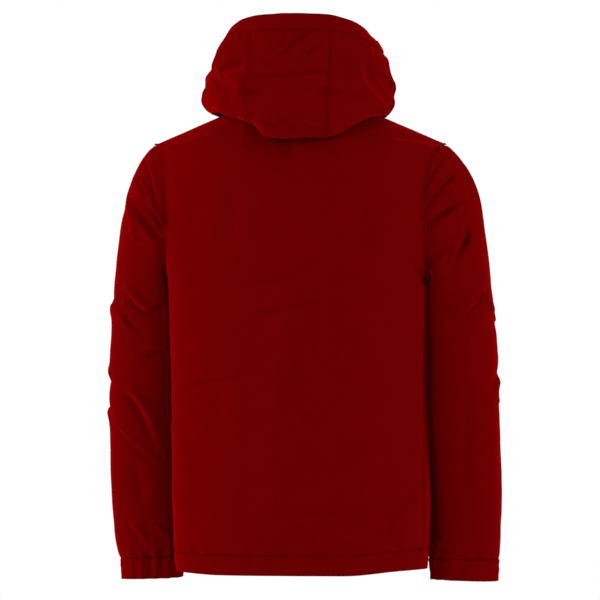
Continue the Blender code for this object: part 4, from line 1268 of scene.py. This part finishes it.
# ------------------------------------------------------------------ zip
def slit_line(side, places):
    """Points down one edge of the front slit and hood, and outward directions there."""
    rows = np.asarray(places, float)
    on_hood = rows > ARMHOLE_ROWS
    body_row = ARMHOLE_ROWS - rows
    edge = np.where(on_hood[:, None], hood_point(side * SLIT_ANGLE, np.maximum(-body_row, 0)),
                    body_point(-1, side * SLIT_SHARE, np.maximum(body_row, 0)))
    beside = np.where(on_hood[:, None],
                      hood_point(side * (SLIT_ANGLE - 0.05), np.maximum(-body_row, 0)),
                      body_point(-1, side * (SLIT_SHARE + 0.01), np.maximum(body_row, 0)))
    along = np.gradient(edge, axis=0)
    across = side * (beside - edge)
    out = np.cross(along, across)
    out /= np.linalg.norm(out, axis=1, keepdims=True)
    return edge, -out if out[len(out) // 2][1] > 0 else out


def zip_places(count=240):
    places = np.linspace(0.0, ZIP_TOP, 1200)
    edge, _ = slit_line(1, places)
    walked = np.r_[0.0, np.cumsum(np.linalg.norm(np.diff(edge, axis=0), axis=1))]
    return np.interp(np.linspace(0.0, walked[-1], count), walked, places)


def tape_cloth(side):
    places = zip_places()
    edge, out = slit_line(side, places)
    across = np.cross(out, np.gradient(edge, axis=0))
    across /= np.linalg.norm(across, axis=1, keepdims=True)
    across *= np.sign(across[:, :1]) * side

    def tape_point(reach, row):
        k = np.round(row).astype(int)
        return edge[k] + across[k] * reach[..., None] - out[k] * TAPE_DEEP

    cloth = Cloth(lambda c, r: tape_point(np.broadcast_to(c, (r.size, c.size)),
                                          np.broadcast_to(r, (r.size, c.size))),
                  TAPE_REACH, np.arange(len(places)), turned=side > 0)
    return cloth


def tooth_shape():
    """A moulded tooth: a block with its head rounded."""
    tooth = bmesh.new()
    bmesh.ops.create_cube(tooth, size=1.0)
    bmesh.ops.scale(tooth, verts=tooth.verts[:], vec=(0.0013, 0.0034, 0.0022))
    bmesh.ops.bevel(tooth, geom=tooth.edges[:], offset=0.0003, segments=1, profile=0.5,
                    affect="EDGES", material=-1)
    return tooth


# ------------------------------------------------------------------ sewn pieces
def sew(name, cloth, node_name, wall, rim=0.0, keep=None):
    piece = cloth_object(name, cloth, wall, shell_material(), keep, rim)
    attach(piece, GARMENT)
    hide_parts(node_name)
    return piece


class ANORAK_OT_body(bpy.types.Operator):
    """Sew the back and the front, with the slit for the zip"""
    bl_idname = "anorak.body"
    bl_label = "Back and front"

    def execute(self, context):
        wall = context.scene.anorak_cloth.wall
        back, front = body_cloth(1), body_cloth(-1)
        for cloth, name, node_name in ((back, "back_cloth", "back_panel"),
                                       (front, "front_cloth", "front_panel")):
            keep = None if cloth is back else outside_slit
            sew(name, cloth, node_name, wall, keep=keep)
        points, normals = back.line("top", 0.0065)
        x = points[:, 0]
        lines = [(points[chosen], normals[chosen]) for chosen in (x > NECK_X, x < -NECK_X)]
        for side in (1, -1):
            beside = SLIT_SHARE + 0.0052 / TIP_X
            column = int(np.argmin(np.abs(front.columns - side * beside)))
            above = front.rows <= ARMHOLE_ROWS + 0.1
            lines.append((front.points[above, column], front.normals[above, column]))
        add_stitches("body_stitches", lines)
        return {"FINISHED"}


def outside_slit(place):
    return abs(place.x) > SLIT_HALF * 0.98 or place.z < UNDERARM_Z


class ANORAK_OT_hem(bpy.types.Operator):
    """Sew the hem's casing and its stitched line"""
    bl_idname = "anorak.hem"
    bl_label = "Hem"

    def execute(self, context):
        cloth = hem_cloth()
        sew("hem_casing", cloth, "hem_band", context.scene.anorak_cloth.band_wall,
            rim=0.0007)
        add_stitches("hem_stitches", [cloth.line("top", 0.0024)])
        return {"FINISHED"}


class ANORAK_OT_sleeves(bpy.types.Operator):
    """Sew both sleeves and their elastic cuffs"""
    bl_idname = "anorak.sleeves"
    bl_label = "Sleeves and cuffs"

    def execute(self, context):
        settings = context.scene.anorak_cloth
        for side, word in ((1, "left"), (-1, "right")):
            sleeve, cuff = sleeve_cloth(side), cuff_cloth(side)
            sew(f"{word}_sleeve_cloth", sleeve, f"sleeve_{word}", settings.wall)
            sew(f"{word}_cuff_band", cuff, f"cuff_{word}", settings.band_wall,
                rim=0.0007)
            add_stitches(f"{word}_sleeve_stitches",
                         [sleeve.line("top", 0.0065), sleeve.line("bottom", 0.0022),
                          cuff.line("top", 0.0022), cuff.line("top", CUFF_STITCH)])
        return {"FINISHED"}


class ANORAK_OT_hood(bpy.types.Operator):
    """Sew the three panels of the hood and the casing round the face"""
    bl_idname = "anorak.hood"
    bl_label = "Hood"

    def execute(self, context):
        settings = context.scene.anorak_cloth
        panels = (("hood_centre_cloth", "hood_centre", -SEAM_ANGLE, SEAM_ANGLE),
                  ("left_hood_cloth", "hood_side_left", SEAM_ANGLE, SLIT_ANGLE),
                  ("right_hood_cloth", "hood_side_right", -SLIT_ANGLE, -SEAM_ANGLE))
        lines = []
        for name, node_name, first, last in panels:
            cloth = hood_cloth(first, last, 0.0, BAND_SEAM_ROW, HOOD_STEP)
            sew(name, cloth, node_name, settings.wall)
            if node_name == "hood_centre":
                lines += [cloth.line("start", 0.0058), cloth.line("end", 0.0058)]
            else:
                inner, outer = ("start", "end") if first > 0 else ("end", "start")
                lines += [cloth.line(inner, 0.0016), cloth.line(outer, 0.0055)]
        band = hood_cloth(-SLIT_ANGLE, SLIT_ANGLE, BAND_SEAM_ROW, FACE_EDGE_ROW, HOOD_STEP)
        sew("face_casing", band, "hood_face_band", settings.band_wall,
            rim=0.0007)
        lines.append(band.line("top", 0.0022))
        add_stitches("hood_stitches", lines)
        return {"FINISHED"}


class ANORAK_OT_zip(bpy.types.Operator):
    """Make the zip's tapes, teeth, slider and pull tab"""
    bl_idname = "anorak.zip"
    bl_label = "Zip"

    def execute(self, context):
        frames = []
        for side, word in ((1, "left"), (-1, "right")):
            cloth = tape_cloth(side)
            piece = cloth_object(f"{word}_tape_cloth", cloth, 0.0008, tape_material())
            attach(piece, GARMENT)
            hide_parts(f"zip_tape_{word}")
            edge = cloth.points[:, 0]
            share = 0.25 if side > 0 else 0.75
            for placed in row_frames(edge, cloth.normals[:, 0], TOOTH_PITCH, 0.0003, share):
                placed.translation.x -= side * 0.0004
                frames.append(placed)
        teeth = repeat_shape("zip_teeth", tooth_shape(), frames, teeth_material())
        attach(teeth, GARMENT)
        add_slider()
        return {"FINISHED"}


def plate_shape(width, length, thick, waist):
    """A plate with a broad top and a narrower foot, its corners and edges rounded."""
    plate = bmesh.new()
    bmesh.ops.create_cube(plate, size=1.0)
    bmesh.ops.scale(plate, verts=plate.verts[:], vec=(width, thick, length))
    for vertex in plate.verts:
        if vertex.co.z < 0:
            vertex.co.x *= waist
    upright = [edge for edge in plate.edges
               if abs(edge.verts[0].co.y - edge.verts[1].co.y) > thick / 2]
    bmesh.ops.bevel(plate, geom=upright, offset=width * 0.30, segments=5, profile=0.5,
                    affect="EDGES", clamp_overlap=True, material=-1)
    rims = [edge for edge in plate.edges if edge.calc_face_angle(0.0) > math.radians(60)]
    bmesh.ops.bevel(plate, geom=rims, offset=min(0.28 * thick, 0.06 * width), segments=2,
                    profile=0.5, affect="EDGES", clamp_overlap=True, material=-1)
    return plate


def join_shapes(shapes):
    """Several shapes as one, each already in its place."""
    whole = bmesh.new()
    for shape in shapes:
        part = bpy.data.meshes.new("part")
        shape.to_mesh(part)
        shape.free()
        whole.from_mesh(part)
        bpy.data.meshes.remove(part)
    return whole


def bar_shape(points, radius, sides=10):
    """A round bar along a few points."""
    path = bpy.data.curves.new("bar", "CURVE")
    path.dimensions = "3D"
    line = path.splines.new("NURBS")
    line.points.add(len(points) - 1)
    for spot, place in zip(line.points, points):
        spot.co = (*place, 1.0)
    line.use_endpoint_u = True
    line.order_u = 3
    path.bevel_depth = radius
    path.bevel_resolution = sides // 4
    path.use_fill_caps = True
    carrier = bpy.data.objects.new("bar", path)
    bpy.context.scene.collection.objects.link(carrier)
    mesh = carrier.to_mesh()
    bar = bmesh.new()
    bar.from_mesh(mesh)
    bmesh.ops.remove_doubles(bar, verts=bar.verts[:], dist=MERGE)
    bmesh.ops.recalc_face_normals(bar, faces=bar.faces[:])
    carrier.to_mesh_clear()
    bpy.data.objects.remove(carrier)
    bpy.data.curves.remove(path)
    return bar


def add_slider():
    """The slider with its crown, and the pull tab on the hinge's axis."""
    low, middle, high = (Vector(hood_point(SLIT_ANGLE, row).tolist())
                         for row in (SLIDER_ROW - TILT_BELOW, SLIDER_ROW,
                                     SLIDER_ROW + TILT_ABOVE))
    middle.x = 0.0
    tilt = math.atan2(low.y - high.y, high.z - low.z)
    lowest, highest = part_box("zip_slider")
    middle = (lowest + highest) / 2
    width = highest.x - lowest.x
    turn = Matrix.Translation(middle) @ Matrix.Rotation(tilt, 4, "X")
    front = plate_shape(width, 0.0108, SLIDER_PLATE, 0.80)
    bmesh.ops.translate(front, verts=front.verts[:], vec=(0, -0.0002, 0))
    back = plate_shape(width, 0.0108, SLIDER_PLATE, 0.80)
    bmesh.ops.translate(back, verts=back.verts[:], vec=(0, 0.0024, 0))
    wedge = plate_shape(width * 0.30, 0.0030, 0.0024, 0.5)
    bmesh.ops.translate(wedge, verts=wedge.verts[:], vec=(0, 0.0011, 0.0034))
    crown = bar_shape(((0, -0.0006, 0.0036), (0, -0.0026, 0.0034), (0, -0.0032, 0.0018),
                       (0, -0.0032, -0.0018), (0, -0.0026, -0.0034), (0, -0.0006, -0.0036)),
                      0.00055)
    whole = join_shapes((front, back, wedge, crown))
    bmesh.ops.transform(whole, matrix=turn, verts=whole.verts[:])
    slider = new_object("zip_slider_body", whole, metal_material())
    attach(slider, GARMENT)
    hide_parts("zip_slider")
    low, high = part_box("zip_pull_tab")
    width, length = high.x - low.x, high.z - low.z
    tab = plate_shape(width, length, TAB_THICK, 1.15)
    hole = plate_shape(width * 0.58, length * 0.20, TAB_THICK * 3, 1.0)
    bmesh.ops.translate(hole, verts=hole.verts[:], vec=(0, 0, length * 0.355))
    slot = plate_shape(width * 0.50, length * 0.34, TAB_THICK * 3, 1.0)
    bmesh.ops.translate(slot, verts=slot.verts[:], vec=(0, 0, -length * 0.24))
    cutter = new_object("tab_openings", join_shapes((hole, slot)), metal_material())
    piece = new_object("zip_tab_plate", tab, metal_material())
    cut = piece.modifiers.new("openings", "BOOLEAN")
    cut.operation = "DIFFERENCE"
    cut.object = cutter
    shaped = bmesh.new()
    shaped.from_object(piece, bpy.context.evaluated_depsgraph_get())
    bmesh.ops.translate(shaped, verts=shaped.verts[:], vec=(low + high) / 2)
    piece.modifiers.remove(cut)
    shaped.to_mesh(piece.data)
    shaped.free()
    piece.data.shade_smooth()
    piece.data.set_sharp_from_angle(angle=math.radians(40))
    bpy.data.objects.remove(cutter)
    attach(piece, PULL_TAB)
    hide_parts("zip_pull_tab")


# ------------------------------------------------------------------ studio
class ANORAK_OT_studio(bpy.types.Operator):
    """Set the floor, the soft lights and the camera"""
    bl_idname = "anorak.studio"
    bl_label = "Studio"

    def execute(self, context):
        settings = context.scene.anorak_studio
        floor = bmesh.new()
        bmesh.ops.create_circle(floor, cap_ends=True, segments=96, radius=FLOOR_RADIUS)
        bmesh.ops.translate(floor, verts=floor.verts[:], vec=(0, 0, -settings.floor_drop))
        new_object("floor", floor, floor_material())
        world = bpy.data.worlds.new("studio")
        world.use_nodes = True
        world.node_tree.nodes["Background"].inputs["Color"].default_value = (1, 1, 1, 1)
        world.node_tree.nodes["Background"].inputs["Strength"].default_value = settings.surround
        context.scene.world = world
        target = Vector((0.0, 0.0, settings.middle))
        for name, place, size, power in (
                ("left softbox", (2.8, 0.45, 0.4), 1.3, 1.05 * settings.side_light),
                ("right softbox", (-2.8, 0.45, 0.4), 1.3, 0.95 * settings.side_light),
                ("top softbox", (0.0, 0.2, 2.6), 2.4, settings.top_light),
                ("back softbox", (1.3, 4.1, 0.9), 1.4, settings.back_light),
                ("front fill", (-0.7, -3.4, 0.9), 2.0, settings.fill_light)):
            add_softbox(name, Vector(place), target, size, power)
        camera = bpy.data.objects.new("camera", bpy.data.cameras.new("camera"))
        context.scene.collection.objects.link(camera)
        camera.data.sensor_width = SENSOR
        camera.data.lens = SENSOR * settings.distance / settings.view_height
        turn = math.radians(settings.azimuth)
        away = Vector((math.sin(turn), -math.cos(turn), 0.0))
        camera.location = target + away * settings.distance
        camera.rotation_euler = (-away).to_track_quat("-Z", "Y").to_euler()
        camera.data.clip_end = 100.0
        context.scene.camera = camera
        context.scene.view_settings.view_transform = "Standard"
        return {"FINISHED"}


def add_softbox(name, place, target, size, power):
    light = bpy.data.lights.new(name, "AREA")
    light.shape = "SQUARE"
    light.size = size
    light.energy = power
    box = bpy.data.objects.new(name, light)
    bpy.context.scene.collection.objects.link(box)
    box.location = place
    box.rotation_euler = (target - place).to_track_quat("-Z", "Y").to_euler()
    box.visible_camera = False


# ------------------------------------------------------------------ settings
def slot_colour(slot):
    """A finish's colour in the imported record."""
    for finish in frame["record"]["materials"]:
        if finish["slot"] == slot:
            return tuple(finish["base_color"])[:3]
    raise ValueError(f"the record has no finish for {slot}")


class AnorakCloth(bpy.types.PropertyGroup):
    colour: bpy.props.FloatVectorProperty(
        name="Cloth colour", description="Colour of the shell cloth", subtype="COLOR",
        size=3, min=0.0, max=1.0, default=(0.115, 0.0001, 0.0004))
    sheen: bpy.props.FloatProperty(
        name="Sheen", description="Brightness of the cloth seen edge on", default=0.22,
        min=0.0, max=1.0)
    wall: bpy.props.FloatProperty(
        name="Cloth", description="Thickness of one layer of cloth", default=0.0011,
        unit="LENGTH")
    band_wall: bpy.props.FloatProperty(
        name="Bands", description="Thickness of the hem, cuffs and face casing",
        default=0.0022, unit="LENGTH")
    yarn_pitch: bpy.props.FloatProperty(
        name="Yarn pitch", description="Two yarns of the weave", default=0.0009,
        unit="LENGTH")
    crease_strength: bpy.props.FloatProperty(
        name="Creases", description="How deep the creases are", default=1.5, min=0.0,
        max=2.0)


class AnorakSewing(bpy.types.PropertyGroup):
    stitch_pitch: bpy.props.FloatProperty(
        name="Stitch pitch", description="From one stitch to the next", default=0.0033,
        unit="LENGTH")
    stitch_length: bpy.props.FloatProperty(
        name="Stitch length", description="Thread that shows in a stitch", default=0.0026,
        unit="LENGTH")
    thread: bpy.props.FloatProperty(
        name="Thread", description="Thickness of the thread", default=0.00045,
        unit="LENGTH")
    thread_colour: bpy.props.FloatVectorProperty(
        name="Thread colour", description="Colour of the thread", subtype="COLOR", size=3,
        min=0.0, max=1.0, default=(0.095, 0.0001, 0.0004))
    tape_colour: bpy.props.FloatVectorProperty(
        name="Tape colour", description="Colour of the zip's tape and teeth",
        subtype="COLOR", size=3, min=0.0, max=1.0, default=slot_colour("zip_tape"))
    metal_colour: bpy.props.FloatVectorProperty(
        name="Metal colour", description="Colour of the slider and pull tab",
        subtype="COLOR", size=3, min=0.0, max=1.0, default=slot_colour("zip_metal"))


class AnorakStudio(bpy.types.PropertyGroup):
    distance: bpy.props.FloatProperty(
        name="Camera distance", description="From the camera to the garment", default=9.0,
        unit="LENGTH")
    view_height: bpy.props.FloatProperty(
        name="View height", description="Height that the view takes in", default=0.930,
        unit="LENGTH")
    middle: bpy.props.FloatProperty(
        name="Middle", description="Height of the middle of the view", default=-0.2821,
        unit="LENGTH")
    azimuth: bpy.props.FloatProperty(
        name="Azimuth", description="Turn of the view; 180 is straight from behind",
        default=188.0)
    floor_drop: bpy.props.FloatProperty(
        name="Floor", description="How far the floor is below the shoulders", default=1.45,
        unit="LENGTH")
    surround: bpy.props.FloatProperty(
        name="Surround", description="Strength of the white surround", default=1.0)
    side_light: bpy.props.FloatProperty(
        name="Side light", description="Power of the softboxes at the sides", default=95.0,
        subtype="POWER")
    top_light: bpy.props.FloatProperty(
        name="Top light", description="Power of the softbox above", default=20.0,
        subtype="POWER")
    back_light: bpy.props.FloatProperty(
        name="Back light", description="Power of the light on the back of the garment",
        default=158.0, subtype="POWER")
    fill_light: bpy.props.FloatProperty(
        name="Fill light", description="Power of the light on the front of the garment",
        default=8.0, subtype="POWER")


OPERATORS = (ANORAK_OT_body, ANORAK_OT_hem, ANORAK_OT_sleeves, ANORAK_OT_hood,
             ANORAK_OT_zip, ANORAK_OT_studio)
SETTINGS = {"anorak_cloth": AnorakCloth, "anorak_sewing": AnorakSewing,
            "anorak_studio": AnorakStudio}


class ANORAK_PT_panel(bpy.types.Panel):
    """The settings and the making of the anorak"""
    bl_label = "Anorak pullover"
    bl_idname = "ANORAK_PT_panel"
    bl_space_type = "VIEW_3D"
    bl_region_type = "UI"
    bl_category = "Anorak"

    def draw(self, context):
        for name, group in SETTINGS.items():
            box = self.layout.box()
            for prop in group.__annotations__:
                box.prop(getattr(context.scene, name), prop)
        for operator in OPERATORS:
            self.layout.operator(operator.bl_idname)


def register():
    for group in (*SETTINGS.values(), *OPERATORS, ANORAK_PT_panel):
        bpy.utils.register_class(group)
    for name, group in SETTINGS.items():
        setattr(bpy.types.Scene, name, bpy.props.PointerProperty(type=group))


def unregister():
    for name in SETTINGS:
        delattr(bpy.types.Scene, name)
    for group in (ANORAK_PT_panel, *reversed(OPERATORS), *SETTINGS.values()):
        bpy.utils.unregister_class(group)


def main():
    register()
    bpy.ops.anorak.body()
    bpy.ops.anorak.hem()
    bpy.ops.anorak.sleeves()
    bpy.ops.anorak.hood()
    bpy.ops.anorak.zip()
    bpy.ops.anorak.studio()


if __name__ == "__main__":
    main()
